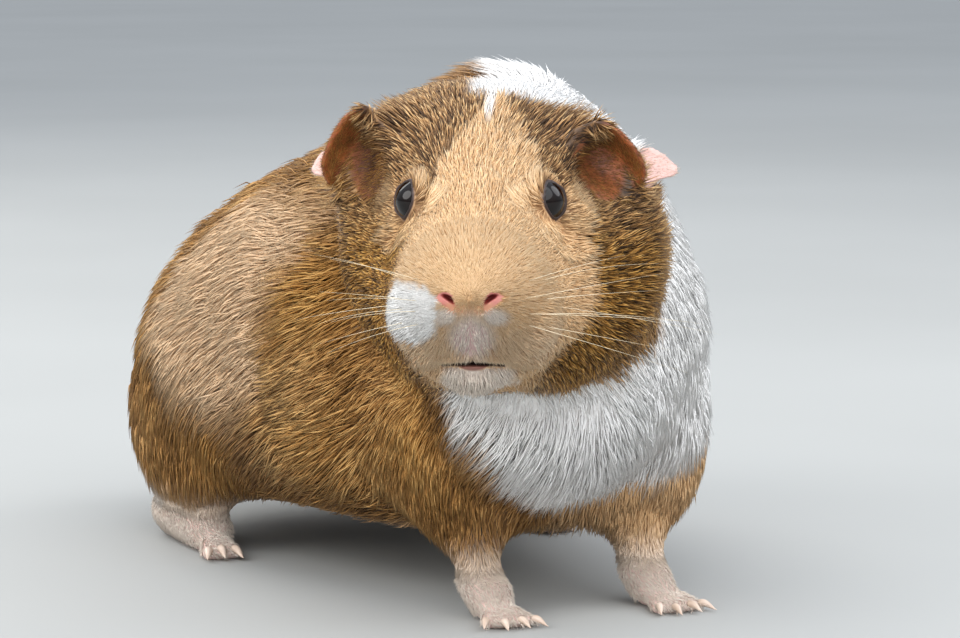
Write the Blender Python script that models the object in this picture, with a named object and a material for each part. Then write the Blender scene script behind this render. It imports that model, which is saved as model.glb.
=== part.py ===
"""A guinea pig, life size, standing alert with its neck bent and its head turned to its right.

The solids give the outer form of the coat. Sizes are in millimetres and are brought to metres by MM where
vertices are made. The trunk lies along Y with the head at -Y, the animal's left side is +X, and Z is up from
the floor. The head is modelled in a frame of its own, with its origin midway between the eyes.
"""

import math

import bmesh
import bpy
from mathutils import Matrix, Vector

MM = 0.001
GAP = 0.3  # clear space between neighbouring nodes
SIDES = {"left": 1, "right": -1}  # sign of X on each side

# ---------------------------------------------------------------- head placement
HEAD_AT = Vector((-43.0, -50.0, 102.5))  # midway between the eyes
HEAD_TURN = 28.5  # degrees to the animal's right
HEAD_FRAME = Matrix.Translation(HEAD_AT) @ Matrix.Rotation(math.radians(-HEAD_TURN), 4, "Z")

# ---------------------------------------------------------------- cross-sections, one row each
# y along the body, top, bottom, half width, height of the widest point, fullness above it, fullness below it
TRUNK = (
    (-22, 112, 40, 24, 78, 1.7, 2.2),
    (-10, 121, 22, 34.5, 66, 1.7, 2.3),
    (8, 125.5, 13, 42.5, 53, 1.8, 2.4),
    (30, 121, 10, 49.5, 50, 1.95, 2.4),
    (55, 115, 9, 54, 46, 2.1, 2.4),
    (82, 108, 8, 58.5, 41, 2.2, 2.4),
    (108, 99.5, 8, 61, 36, 2.25, 2.4),
    (132, 87, 9, 56, 35, 2.25, 2.3),
    (153, 69, 13, 42, 36, 2.2, 2.2),
    (166, 54, 22, 24, 37, 2.0, 2.0),
    (173, 46, 30, 9, 37.5, 2.0, 2.0),
)
HIND_SHIFT = Vector((-4.0, 0.0, 0.0))  # the spine bends, and carries the hind quarters to the right
BEND = (-15.0, 60.0)  # y where that bend begins and ends
# the same in the head's frame, from the front of the muzzle to the nape
HEAD = (
    (-37.5, -10, -25, 9.0, -18, 2.0, 2.0),
    (-34.0, -7.0, -30, 14.0, -20, 2.0, 2.2),
    (-28.0, -2.5, -35, 18.0, -22, 1.9, 2.3),
    (-22.0, 1.5, -39, 20.0, -23, 1.8, 2.4),
    (-14.0, 6.5, -42, 22.0, -23, 1.6, 2.4),
    (-5.0, 11.5, -44, 25.0, -21, 1.5, 2.4),
    (4.0, 16.5, -46, 30.5, -19, 1.52, 2.3),
    (13.0, 20.5, -46.5, 36.0, -18, 1.75, 2.2),
    (23.0, 24.0, -46, 38.5, -15, 2.0, 2.1),
    (34.0, 25.5, -44, 38.0, -11, 2.15, 2.1),
    (45.0, 24.0, -38, 33.5, -8, 2.1, 2.0),
    (54.0, 18.0, -28, 24.0, -6, 2.0, 2.0),
)
RING_POINTS = 40
RINGS_BETWEEN = 5

# ---------------------------------------------------------------- rounded masses of the body: centre, radii
NECK = ((-1.5, 4, 66), 41.5, (-27, -26, 91), 33)
NAPE = ((-15.5, -4.5, 110), (22.5, 30, 21.5))
CHEST = ((-10, -19, 57.5), (32, 24, 33))
THIGH = ((41, 112, 34), (20, 34, 32))
SHOULDER = ((27, 3, 46), (14.5, 23, 33))

# ---------------------------------------------------------------- where one node ends and the next begins
HEAD_BACK = 33.0  # y in the head's frame
HEAD_UNDER = -47.0  # z in the head's frame
NECK_BACK = 12.0
NECK_UNDER = 60.0
RUMP_FRONT = 70.0
FORELEG_REGION = ((27, 5, 38), 19, (18, -8, 8), 12)
HINDLEG_REGION = ((48, 110, 28), (24, 37, 35))
WRIST_HEIGHT = 10.0
HOCK_HEIGHT = 11.0
HOCK_BOX = ((14, 60), (80, 150))  # x and y range of the level cut over a hind foot

# ---------------------------------------------------------------- head masses, in the head's frame
CHEEK_SHIFT = Vector((3.8, 0.0, 0.0))  # the bend of the neck pushes the cheeks to the left
CROWN_SHIFT = Vector((-2.2, 0.0, 0.0))  # and the crown to the right
SHIFT_FROM = (-14.0, 16.0)  # y where the shift begins, and where it is whole
CROWN_FROM = (-12.0, 16.0)  # z where the cheeks' shift ends, and where the crown's is whole
WHISKER_PAD = ((9.0, -24.5, -24.0), (10.5, 10.5, 9.5))
UPPER_LIP = ((0, -28.5, -26.5), (6.5, 6.5, 6.5))
CHIN = ((0, -18.5, -36.0), (9.5, 9.5, 7.0))
NOSE = ((0, -35.0, -17.4), (8.6, 5.0, 6.0))

EYE_AT = Vector((13.0, -0.8, -1.6))
EYE_RADIUS = 5.4
EYE_OUTWARD = Vector((0.80, -0.58, 0.15)).normalized()
EYE_DISH = (7.0, 5.3)  # the lids' opening is dished out by a ball this far from the eye's centre, of this radius
NOSTRIL = ((4.8, -41.5, -17.4), 1.1, (3.4, -36.0, -18.6), 0.8)
NOSE_REGION = ((0, -38.0, -17.8), (8.6, 5.5, 4.6))
MOUTH_HEIGHT = -33.6  # height of the mouth's slit, at the lips
MOUTH_BACK = -20.0  # how far back the lower jaw's node reaches

# ---------------------------------------------------------------- legs and feet
ELBOW = ((25, 6, 33), 12)
WRIST = ((21, -6, 10), 6.6)
FORE_PALM = ((21, -12, 4.6), 5.4)
FORE_SHIFT = Vector((-1.5, 0.0, 0.0))  # both forefeet are planted towards the side the head turns to
FORE_TOES = 4
FORE_TOE_LENGTH = 7.5
FORE_TOE_RADIUS = 2.0
FORE_SPREAD = 17.0  # degrees between neighbouring toes

KNEE = ((44, 96, 24), 15)
HOCK = ((43, 125, 8.5), 8.5)
HIND_SOLE = ((45, 99, 5.2), 6.0)
HIND_TOES = 3
HIND_TOE_LENGTH = 8.5
HIND_TOE_RADIUS = 2.4
HIND_SPREAD = 14.0

CLAW_LENGTH = 5.5
CLAW_RADIUS = 0.9
SOLE_DEPTH = 0.5  # how much of a rounded sole is planed off to leave a flat
FOOT_TURN = {"fore": 4.0, "hind": 10.0}  # degrees outwards

# ---------------------------------------------------------------- ears, in the head's frame
# the ear's root and its free rim, from the front of its roof over the hollow's back to its lower end, then round
# the rear lobe; the last two numbers of a rim's row are how much further out and higher it is on the right ear
EAR_ROOT = (
    (18.5, 13.0, 12.5), (20.5, 17.0, 12.5), (25.5, 20.0, 8.5), (29.0, 19.5, 4.0), (30.5, 17.5, -0.5),
    (31.5, 21.0, 1.5), (33.0, 25.0, 3.5), (32.0, 29.0, 7.0), (30.5, 31.0, 9.5),
)
EAR_RIM = (
    (24.5, 9.0, 15.6, 0.0, 3.0), (30.2, 9.3, 13.4, 0.0, 3.6), (34.6, 10.8, 7.6, 0.0, 2.0),
    (36.2, 12.6, 2.8, 0.0, 0.8), (34.2, 15.5, -0.8, 0.0, 0.0), (38.6, 21.5, 1.6, -2.4, 0.0),
    (43.2, 25.0, 2.2, -3.0, 0.0), (42.6, 28.5, 5.0, -3.0, 0.0), (36.5, 30.5, 8.2, -1.0, 0.0),
)
EAR_HOLLOW = ((26.0, 12.5, 6.0), (5.0, 7.0, 7.0))  # the dish in the head that the ear opens from
EAR_CUP = 2.6  # how far the middle of the sheet bulges backwards
EAR_THICKNESS = 1.8
EAR_SINK = 0.22  # how far the sheet runs into the head, as a share of its length

# ---------------------------------------------------------------- mesh sizes
CORE_VOXEL = 2.0
CORE_SMOOTHING = 28
FINE_VOXEL = 1.0
FOOT_VOXEL = 0.7
CORE_TRIANGLES = 1640
FOOT_TRIANGLES = 210

COLOURS = {
    "agouti": ((0.36, 0.22, 0.11, 1), 0.75),
    "buff": ((0.72, 0.47, 0.25, 1), 0.75),
    "white": ((0.84, 0.82, 0.78, 1), 0.75),
    "skin_pink": ((0.78, 0.50, 0.45, 1), 0.55),
    "ear": ((0.42, 0.17, 0.08, 1), 0.6),
    "eye": ((0.015, 0.012, 0.012, 1), 0.08),
}


# ---------------------------------------------------------------- making shapes
def clear_scene():
    for obj in list(bpy.data.objects):
        bpy.data.objects.remove(obj)


def material(name):
    found = bpy.data.materials.get(name)
    if found:
        return found
    colour, roughness = COLOURS[name]
    made = bpy.data.materials.new(name)
    made.use_nodes = True
    shader = made.node_tree.nodes["Principled BSDF"]
    shader.inputs["Base Color"].default_value = colour
    shader.inputs["Roughness"].default_value = roughness
    shader.inputs["Metallic"].default_value = 0.0
    return made


def mirrored(point, side):
    return Vector((point[0] * side, point[1], point[2]))


def add_ellipsoid(bm, centre, radii, frame=Matrix.Identity(4), detail=3):
    """Adds a ball stretched to radii, in millimetres, placed in frame."""
    place = frame @ Matrix.Translation(Vector(centre)) @ Matrix.Diagonal((*radii, 1.0))
    bmesh.ops.create_icosphere(bm, subdivisions=detail, radius=1.0, matrix=place)


def add_taper(bm, start, start_radius, end, end_radius, frame=Matrix.Identity(4), detail=3):
    """Adds the hull of two balls: a capsule whose ends may differ in size."""
    balls = bmesh.new()
    for centre, radius in ((start, start_radius), (end, end_radius)):
        place = frame @ Matrix.Translation(Vector(centre))
        bmesh.ops.create_icosphere(balls, subdivisions=detail, radius=radius, matrix=place)
    points = [bm.verts.new(v.co) for v in balls.verts]
    balls.free()
    found = bmesh.ops.convex_hull(bm, input=points)
    inside = {v for v in found["geom_interior"] + found["geom_unused"] if isinstance(v, bmesh.types.BMVert)}
    bmesh.ops.delete(bm, geom=list(inside), context="VERTS")


def add_loft(bm, rings):
    """Joins closed rings of points into one closed skin, with a point at each end."""
    loops = [[bm.verts.new(p) for p in ring] for ring in rings]
    for low, high in zip(loops, loops[1:]):
        for i in range(len(low)):
            j = (i + 1) % len(low)
            bm.faces.new((low[i], low[j], high[j], high[i]))
    bm.faces.new(list(reversed(loops[0])))
    bm.faces.new(loops[-1])


def object_from(bm, name):
    """Turns a bmesh in millimetres into an object in metres."""
    bmesh.ops.recalc_face_normals(bm, faces=bm.faces)
    bm.transform(Matrix.Scale(MM, 4))
    mesh = bpy.data.meshes.new(name)
    bm.to_mesh(mesh)
    bm.free()
    obj = bpy.data.objects.new(name, mesh)
    bpy.context.scene.collection.objects.link(obj)
    return obj


def apply_modifiers(obj):
    graph = bpy.context.evaluated_depsgraph_get()
    graph.update()
    mesh = bpy.data.meshes.new_from_object(obj.evaluated_get(graph))
    obj.modifiers.clear()
    obj.data = mesh


def remeshed(obj, voxel, smoothing, triangles=None):
    """Fuses the object's overlapping shapes into one smooth closed surface."""
    fuse = obj.modifiers.new("fuse", "REMESH")
    fuse.mode = "VOXEL"
    fuse.voxel_size = voxel * MM
    if smoothing:
        soften = obj.modifiers.new("soften", "SMOOTH")
        soften.factor = 0.5
        soften.iterations = smoothing
    apply_modifiers(obj)
    if triangles:
        obj.data.update()
        thin = obj.modifiers.new("thin", "DECIMATE")
        thin.ratio = min(1.0, triangles / (2 * len(obj.data.polygons)))
        thin.use_collapse_triangulate = True
        apply_modifiers(obj)
    return obj


def boolean(obj, cutter, operation):
    cut = obj.modifiers.new(operation.lower(), "BOOLEAN")
    cut.operation = operation
    cut.object = cutter
    cut.solver = "EXACT"
    apply_modifiers(obj)


def copy_of(obj, name):
    made = obj.copy()
    made.data = obj.data.copy()
    made.name = name
    bpy.context.scene.collection.objects.link(made)
    return made


def cut_with(obj, bm, operation):
    """Joins a shape to obj, or takes it away."""
    tool = object_from(bm, "tool")
    boolean(obj, tool, operation)
    bpy.data.objects.remove(tool)


def keep_largest(obj):
    """Drops the crumbs that a cut may leave beside the main piece."""
    bm = bmesh.new()
    bm.from_mesh(obj.data)
    todo = set(bm.verts)
    pieces = []
    while todo:
        stack = [todo.pop()]
        piece = list(stack)
        while stack:
            for edge in stack.pop().link_edges:
                for v in edge.verts:
                    if v in todo:
                        todo.remove(v)
                        stack.append(v)
                        piece.append(v)
        pieces.append(piece)
    pieces.sort(key=len)
    for piece in pieces[:-1]:
        bmesh.ops.delete(bm, geom=piece, context="VERTS")
    bm.to_mesh(obj.data)
    bm.free()
    return obj


def split_off(body, name, region):
    """Cuts the part of body inside region off as a node of its own. region(grow) makes the cutter."""
    node = copy_of(body, name)
    cut_with(node, region(0.0), "INTERSECT")
    cut_with(body, region(GAP), "DIFFERENCE")
    return keep_largest(node)


def ellipsoid_region(centre, radii, frame=Matrix.Identity(4), detail=3):
    def region(grow):
        bm = bmesh.new()
        add_ellipsoid(bm, centre, [r + grow for r in radii], frame, detail)
        return bm

    return region


def taper_region(start, start_radius, end, end_radius):
    def region(grow):
        bm = bmesh.new()
        add_taper(bm, start, start_radius + grow, end, end_radius + grow, detail=2)
        return bm

    return region


def box_region(low, high, frame=Matrix.Identity(4)):
    """A box with its sides along frame's axes, for cuts that are flat."""

    def region(grow):
        bm = bmesh.new()
        size = [h - l + 2 * grow for l, h in zip(low, high)]
        middle = [(h + l) / 2 for l, h in zip(low, high)]
        place = frame @ Matrix.Translation(Vector(middle)) @ Matrix.Diagonal((*size, 1.0))
        bmesh.ops.create_cube(bm, size=1.0, matrix=place)
        return bm

    return region


# ---------------------------------------------------------------- the body's own shapes
def curve_through(rows, t):
    """A row between the given rows, at t from 0 to len(rows) - 1, on a Catmull-Rom curve."""
    i = min(int(t), len(rows) - 2)
    f = t - i
    before, low, high, after = (rows[max(0, min(len(rows) - 1, k))] for k in (i - 1, i, i + 1, i + 2))
    return [
        0.5 * (2 * b + (c - a) * f + (2 * a - 5 * b + 4 * c - d) * f**2 + (3 * b - a - 3 * c + d) * f**3)
        for a, b, c, d in zip(before, low, high, after)
    ]


def section_ring(y, top, bottom, half_width, widest, fullness_above, fullness_below):
    """A closed ring across the body; a fullness of 2 is an ellipse, less is leaner and more is squarer."""
    ring = []
    for i in range(RING_POINTS):
        angle = 2 * math.pi * i / RING_POINTS
        c, s = math.cos(angle), math.sin(angle)
        power, height = (2 / fullness_above, top - widest) if s > 0 else (2 / fullness_below, widest - bottom)
        x = half_width * math.copysign(abs(c) ** power, c)
        ring.append(Vector((x, y, widest + height * math.copysign(abs(s) ** power, s))))
    return ring


def section_rings(rows):
    steps = (len(rows) - 1) * RINGS_BETWEEN
    return [section_ring(*curve_through(rows, k / RINGS_BETWEEN)) for k in range(steps + 1)]


def smooth_step(low, high, value):
    t = max(0.0, min(1.0, (value - low) / (high - low)))
    return t * t * (3 - 2 * t)


def bent_aside(point):
    """How far the bend of the neck carries a point of the head sideways."""
    shift = CHEEK_SHIFT.lerp(CROWN_SHIFT, smooth_step(*CROWN_FROM, point[2]))
    return shift * smooth_step(*SHIFT_FROM, point[1])


def head_rings():
    return [[HEAD_FRAME @ (p + bent_aside(p)) for p in ring] for ring in section_rings(HEAD)]


def trunk_rings():
    """The trunk's rings, carried sideways by the bend of the spine."""
    return [[p + HIND_SHIFT * smooth_step(*BEND, p.y) for p in ring] for ring in section_rings(TRUNK)]


def leg_point(point, side, shift=Vector()):
    return mirrored(point, side) + shift


def make_core():
    """Trunk, neck, head and upper legs, fused and softened as one body."""
    bm = bmesh.new()
    add_loft(bm, trunk_rings())
    add_loft(bm, head_rings())
    add_taper(bm, *NECK)
    add_ellipsoid(bm, *NAPE)
    add_ellipsoid(bm, *CHEST)
    for side in SIDES.values():
        add_ellipsoid(bm, mirrored(SHOULDER[0], side), SHOULDER[1])
        add_ellipsoid(bm, leg_point(THIGH[0], side, HIND_SHIFT), THIGH[1])
        add_taper(bm, mirrored(ELBOW[0], side), ELBOW[1], leg_point(WRIST[0], side, FORE_SHIFT), WRIST[1] + 1)
        knee, hock = (leg_point(joint[0], side, HIND_SHIFT) for joint in (KNEE, HOCK))
        add_taper(bm, knee, KNEE[1], hock, HOCK[1])
    return remeshed(object_from(bm, "core"), CORE_VOXEL, CORE_SMOOTHING)


def add_muzzle(bm):
    """The small forms at the front of the face, which stay crisper than the rest."""
    add_ellipsoid(bm, *NOSE, HEAD_FRAME)
    add_ellipsoid(bm, *UPPER_LIP, HEAD_FRAME)
    add_ellipsoid(bm, *CHIN, HEAD_FRAME)
    for side in SIDES.values():
        add_ellipsoid(bm, mirrored(WHISKER_PAD[0], side), WHISKER_PAD[1], HEAD_FRAME)


def make_body():
    """The whole body without feet and ears, as one closed surface."""
    body = make_core()
    bm = bmesh.new()
    add_muzzle(bm)
    muzzle = object_from(bm, "muzzle")
    joined = bmesh.new()
    joined.from_mesh(body.data)
    joined.from_mesh(muzzle.data)
    joined.to_mesh(body.data)
    joined.free()
    bpy.data.objects.remove(muzzle)
    return remeshed(body, FINE_VOXEL, 4, CORE_TRIANGLES)


# ---------------------------------------------------------------- feet
def foot_sizes(kind):
    """Heel, ball, toe count, toe length, toe radius, degrees between toes, height of the cut, shift."""
    if kind == "fore":
        return WRIST, FORE_PALM, FORE_TOES, FORE_TOE_LENGTH, FORE_TOE_RADIUS, FORE_SPREAD, WRIST_HEIGHT, FORE_SHIFT
    return HOCK, HIND_SOLE, HIND_TOES, HIND_TOE_LENGTH, HIND_TOE_RADIUS, HIND_SPREAD, HOCK_HEIGHT, HIND_SHIFT


def toe_frames(kind, side):
    """The frame of each toe: origin at its knuckle, -Y along it."""
    _, ball, count, _, radius, spread, _, shift = foot_sizes(kind)
    for i in range(count):
        fan = (i - (count - 1) / 2) * spread + FOOT_TURN[kind] * side
        start = leg_point(ball[0], side, shift)
        start.z = radius
        turn = Matrix.Rotation(math.radians(fan), 4, "Z")
        yield Matrix.Translation(start) @ turn @ Matrix.Translation(Vector((0, -ball[1] * 0.8, 0)))


def claw_mesh(frame, tip, radius):
    """A blunt curved cone that leaves the toe's end and bends down to just above the floor."""
    sections, points = 3, 5
    rings = []
    for k in range(sections + 1):
        f = k / sections
        size = CLAW_RADIUS * (1 - 0.7 * f)
        middle = tip + Vector((0, -radius * 0.3 - CLAW_LENGTH * f, 0.7 * math.sin(math.pi * f) - 0.6 * f * f))
        ring = []
        for i in range(points):
            angle = 2 * math.pi * i / points
            ring.append(frame @ (middle + Vector((size * math.cos(angle), 0, size * math.sin(angle)))))
        rings.append(ring)
    bm = bmesh.new()
    add_loft(bm, rings)
    return bm


def make_foot(kind, side, name):
    heel, ball, _, length, radius, _, top, shift = foot_sizes(kind)
    heel_at = leg_point(heel[0], side, shift)
    ball_at = leg_point(ball[0], side, shift)
    bm = bmesh.new()
    add_taper(bm, heel_at, heel[1], ball_at, ball[1])
    if kind == "hind":
        under_heel = Vector((heel_at.x, heel_at.y, ball[1]))
        add_taper(bm, under_heel, ball[1] - SOLE_DEPTH, ball_at, ball[1] - SOLE_DEPTH)
    tip = Vector((0, -length, -SOLE_DEPTH))
    for frame in toe_frames(kind, side):
        add_taper(bm, (0, 0, 0.6), radius + 0.4, tip, radius, frame)
    foot = remeshed(object_from(bm, name), FOOT_VOXEL, 2, FOOT_TRIANGLES)
    for frame in toe_frames(kind, side):
        cut_with(foot, claw_mesh(frame, tip, radius), "UNION")
    cut_with(foot, box_region((-200, -200, -20), (200, 300, 0))(0.0), "DIFFERENCE")
    cut_with(foot, box_region((-200, -200, top - GAP), (200, 300, 200))(0.0), "DIFFERENCE")
    return keep_largest(foot)


# ---------------------------------------------------------------- ears
def ear_point(t, v, side):
    """A point of the ear's middle sheet: t along the rows of its root and rim, v from the root to the rim."""
    root = mirrored(curve_through(EAR_ROOT, t), side)
    root += bent_aside(root)
    *rim, further_out, higher = curve_through(EAR_RIM, t)
    if side < 0:
        rim = (rim[0] + further_out, rim[1], rim[2] + higher)
    rim = mirrored(rim, side)
    bulge = math.sin(math.pi * max(0.0, min(1.0, v)))
    return HEAD_FRAME @ (root.lerp(rim, v) + Vector((side * 0.4, 1.0, 0.0)) * EAR_CUP * bulge)


def make_ear(side, name, body):
    across_steps, along_steps = 14, 4
    rows = len(EAR_RIM) - 1
    bm = bmesh.new()
    grid = []
    for j in range(along_steps + 1):
        v = -EAR_SINK + (1 + EAR_SINK) * j / along_steps
        grid.append([bm.verts.new(ear_point(rows * i / across_steps, v, side)) for i in range(across_steps + 1)])
    for low, high in zip(grid, grid[1:]):
        for i in range(across_steps):
            bm.faces.new((low[i], low[i + 1], high[i + 1], high[i]))
    ear = object_from(bm, name)
    thick = ear.modifiers.new("thickness", "SOLIDIFY")
    thick.thickness = EAR_THICKNESS * MM
    thick.offset = 0
    apply_modifiers(ear)
    boolean(ear, body, "DIFFERENCE")
    return keep_largest(ear)


# ---------------------------------------------------------------- the nodes
def finish(obj, colour):
    obj.data.materials.clear()
    obj.data.materials.append(material(colour))
    obj.data.shade_smooth()
    obj.data.set_sharp_from_angle(angle=math.radians(40))


def set_origin():
    """Moves the animal so that the middle of its bounding box, at floor level, is the world's origin."""
    corners = [v.co for obj in bpy.data.objects for v in obj.data.vertices]
    middle = [(max(c[i] for c in corners) + min(c[i] for c in corners)) / 2 for i in (0, 1)]
    for obj in bpy.data.objects:
        obj.data.transform(Matrix.Translation((-middle[0], -middle[1], 0.0)))


def grown_copy(obj, name):
    """A copy of obj whose surface lies one gap outside it."""
    made = copy_of(obj, name)
    swell = made.modifiers.new("swell", "DISPLACE")
    swell.strength = GAP * MM
    swell.mid_level = 0.0
    apply_modifiers(made)
    return made


def make_ears(body):
    for side in SIDES.values():
        dish = bmesh.new()
        middle = mirrored(EAR_HOLLOW[0], side)
        add_ellipsoid(dish, middle + bent_aside(middle), EAR_HOLLOW[1], HEAD_FRAME, 2)
        cut_with(body, dish, "DIFFERENCE")
    grown = grown_copy(body, "grown")
    for word, side in SIDES.items():
        finish(make_ear(side, "ear_" + word, grown), "ear")
    bpy.data.objects.remove(grown)


def make_eyes(body):
    for word, side in SIDES.items():
        region = ellipsoid_region(mirrored(EYE_AT, side), [EYE_RADIUS] * 3, HEAD_FRAME)
        finish(object_from(region(0.0), "eye_" + word), "eye")
        cut_with(body, region(GAP), "DIFFERENCE")
        dish = bmesh.new()
        middle = EYE_AT + EYE_OUTWARD * EYE_DISH[0]
        add_ellipsoid(dish, mirrored(middle, side), [EYE_DISH[1]] * 3, HEAD_FRAME)
        cut_with(body, dish, "DIFFERENCE")


def make_legs(body):
    """Feet, and the legs above them down to a level cut."""
    for word, side in SIDES.items():
        finish(make_foot("fore", side, "forefoot_" + word), "skin_pink")
        finish(make_foot("hind", side, "hindfoot_" + word), "skin_pink")
        low, high = sorted(x * side + HIND_SHIFT.x for x in HOCK_BOX[0])
        over_foot = box_region((low, HOCK_BOX[1][0], -20), (high, HOCK_BOX[1][1], HOCK_HEIGHT))
        cut_with(body, over_foot(0.0), "DIFFERENCE")
        cut_with(body, box_region((-60, -40, -20), (60, 40, WRIST_HEIGHT))(0.0), "DIFFERENCE")
        start, start_radius, end, end_radius = FORELEG_REGION
        region = taper_region(mirrored(start, side), start_radius, mirrored(end, side), end_radius)
        finish(split_off(body, "foreleg_" + word, region), "agouti" if side < 0 else "buff")
        region = ellipsoid_region(leg_point(HINDLEG_REGION[0], side, HIND_SHIFT), HINDLEG_REGION[1])
        finish(split_off(body, "hindleg_" + word, region), "agouti")


def make_face(body):
    head = split_off(body, "head", box_region((-70, -80, HEAD_UNDER), (70, HEAD_BACK, 70), HEAD_FRAME))
    jaw = split_off(head, "lower_jaw", box_region((-60, -60, -80), (60, MOUTH_BACK, MOUTH_HEIGHT), HEAD_FRAME))
    nose = split_off(head, "nose", ellipsoid_region(*NOSE_REGION, HEAD_FRAME))
    for side in SIDES.values():
        pit = bmesh.new()
        start, start_radius, end, end_radius = NOSTRIL
        add_taper(pit, mirrored(start, side), start_radius, mirrored(end, side), end_radius, HEAD_FRAME, 2)
        cut_with(nose, pit, "DIFFERENCE")
    finish(keep_largest(head), "buff")
    finish(jaw, "white")
    finish(nose, "skin_pink")


def main():
    clear_scene()
    body = make_body()
    make_ears(body)
    make_eyes(body)
    make_legs(body)
    make_face(body)
    far = 400
    neck = split_off(body, "neck", box_region((-far, -far, NECK_UNDER), (far, NECK_BACK, far)))
    finish(neck, "white")
    finish(split_off(body, "chest", box_region((-far, -far, -far), (far, NECK_BACK, far))), "white")
    finish(split_off(body, "rump", box_region((-far, RUMP_FRONT, -far), (far, far, far))), "agouti")
    body.name = "trunk"
    finish(keep_largest(body), "buff")
    set_origin()


main()
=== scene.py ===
"""Looks of a still, life-size guinea pig: one skin, a coat of solid tufts, eyes, claws and whiskers.

Meshes are in metres. Tables are in millimetres and degrees unless they say otherwise, and so is whatever
is called mm or head_mm, or is measured from it.
The head has a frame of its own: x to the animal's left, y backwards, z up, from midway between the eyes.
"""
import itertools
import math

import bmesh
import bpy
import numpy as np
from mathutils import Matrix, Vector
from mathutils.bvhtree import BVHTree
from mathutils.kdtree import KDTree


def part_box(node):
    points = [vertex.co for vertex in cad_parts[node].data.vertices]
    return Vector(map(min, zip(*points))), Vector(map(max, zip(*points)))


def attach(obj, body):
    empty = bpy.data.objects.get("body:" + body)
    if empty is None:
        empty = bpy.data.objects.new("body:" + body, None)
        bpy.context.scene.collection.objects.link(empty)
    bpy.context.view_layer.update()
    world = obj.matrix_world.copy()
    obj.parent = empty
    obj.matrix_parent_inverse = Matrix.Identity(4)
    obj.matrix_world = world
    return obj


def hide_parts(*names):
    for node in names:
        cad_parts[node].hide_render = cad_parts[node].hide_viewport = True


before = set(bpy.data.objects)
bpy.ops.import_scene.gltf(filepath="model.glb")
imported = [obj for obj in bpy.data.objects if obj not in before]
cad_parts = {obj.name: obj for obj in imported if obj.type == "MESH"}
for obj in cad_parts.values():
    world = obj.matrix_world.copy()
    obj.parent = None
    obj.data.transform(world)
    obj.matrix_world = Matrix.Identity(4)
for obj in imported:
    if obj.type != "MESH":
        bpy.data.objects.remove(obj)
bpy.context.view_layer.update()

MM = 0.001
SIDES = {"left": 1, "right": -1}

# Camera: distances in metres
CAMERA_TURN = -25
CAMERA_PITCH = 6.8
CAMERA_DISTANCE = 0.85
EYES_ABOVE_AXIS = 0.0256
CAMERA_LENS = 146.6
CAMERA_SENSOR = 36
CAMERA_CLIP = (0.05, 30)

# Skin: COAT_DEPTH is how far it lies below the coat's tips, BODY_KEPT the share of body triangles kept
FLESH = [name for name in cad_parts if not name.startswith("eye_")]
FEET = ("forefoot", "hindfoot")
HEAD_KINDS = ("head", "lower_jaw", "nose")
JOINT_CLOSING = 0.25
SKIN_VOXEL = 0.85
BODY_KEPT = 0.26
SOLE_PRESS = 0.5
COAT_DEPTH = {
    "trunk": 3.8, "rump": 3.8, "chest": 3.8, "neck": 3.8, "foreleg": 2.6, "hindleg": 3.4,
    "head": 2.6, "lower_jaw": 1.4, "nose": 0.2, "ear": 0.35, "forefoot": 0.35, "hindfoot": 0.35,
}
FACE_DEPTH = 0.15
SINK_ROUNDS = 6
SMOOTHING = {"ear": 0.16, "forefoot": 0.15, "hindfoot": 0.15, "nose": 0.8, "lower_jaw": 0.8}
SMOOTH_TIMES, SMOOTH_ROUNDS = 5, 22

# Eyes; an opening's half-axes along and across, how pointed it is, and the bare rim round it
EYE_OUTWARD = Vector((0.80, -0.58, 0.15)).normalized()
EYE_OPENING = (3.4, 4.35)
EYE_SLANT = 8
EYE_POINT = 2.05
LID_EDGE = 0.17
LID_RISE = 0.45
SOCKET_DEPTH = 1.6
RIM_LEAST, RIM_EXTRA = 0.14, 0.38
RIM_FADE = 0.85
CREASE_DEPTH = 0.3
CORNEA_RISE = 0.05
EYE_SEGMENTS = (48, 32)

# Nose and mouth, in the head frame
NOSE_TIP = (0, -38, -17)
NOSTRIL_AT = (4.3, -36.8, -17.1)
NOSTRIL_SIZE = (1.75, 0.62)
NOSTRIL_SLANT = 33
NOSTRIL_CURVE = 0.12
NOSTRIL_DEPTH = 2.2
NOSTRIL_RIM = (2.7, 1.75)
WING_RISE = 0.3
GROOVE_DEPTH = 0.45
MOUTH_AT = (0.2, -28, -31.9)
MOUTH_HALF = 6.6
MOUTH_BEND = 0.012
MOUTH_DEPTH = 1.9
UPPER_LIP_RISE, LOWER_LIP_RISE = 0.5, 0.8
LIP_DROP = 1
LIP_HALF, LIP_HEIGHT = 3.9, 1.9

# Claws: how far the toes spread from straight ahead, per foot, and the claw's own size
TOE_FANS = {"forefoot": (-25.5, -8.5, 8.5, 25.5), "hindfoot": (-14, 0, 14)}
FOOT_TURN = {"forefoot": 4, "hindfoot": 10}
CLAW_LENGTH = {"forefoot": 4.6, "hindfoot": 5.6}
CLAW_THICKNESS = {"forefoot": 0.95, "hindfoot": 1.2}
CLAW_BARE, CLAW_BED, TOE_DRAWN = 0.72, 2.6, 0.93
CLAW_STEPS = 10
CLAW_SIDES = 10
CLAW_ARCH = 0.32
CLAW_POINT, CLAW_OFF_FLOOR = 0.08, 0.15

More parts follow.
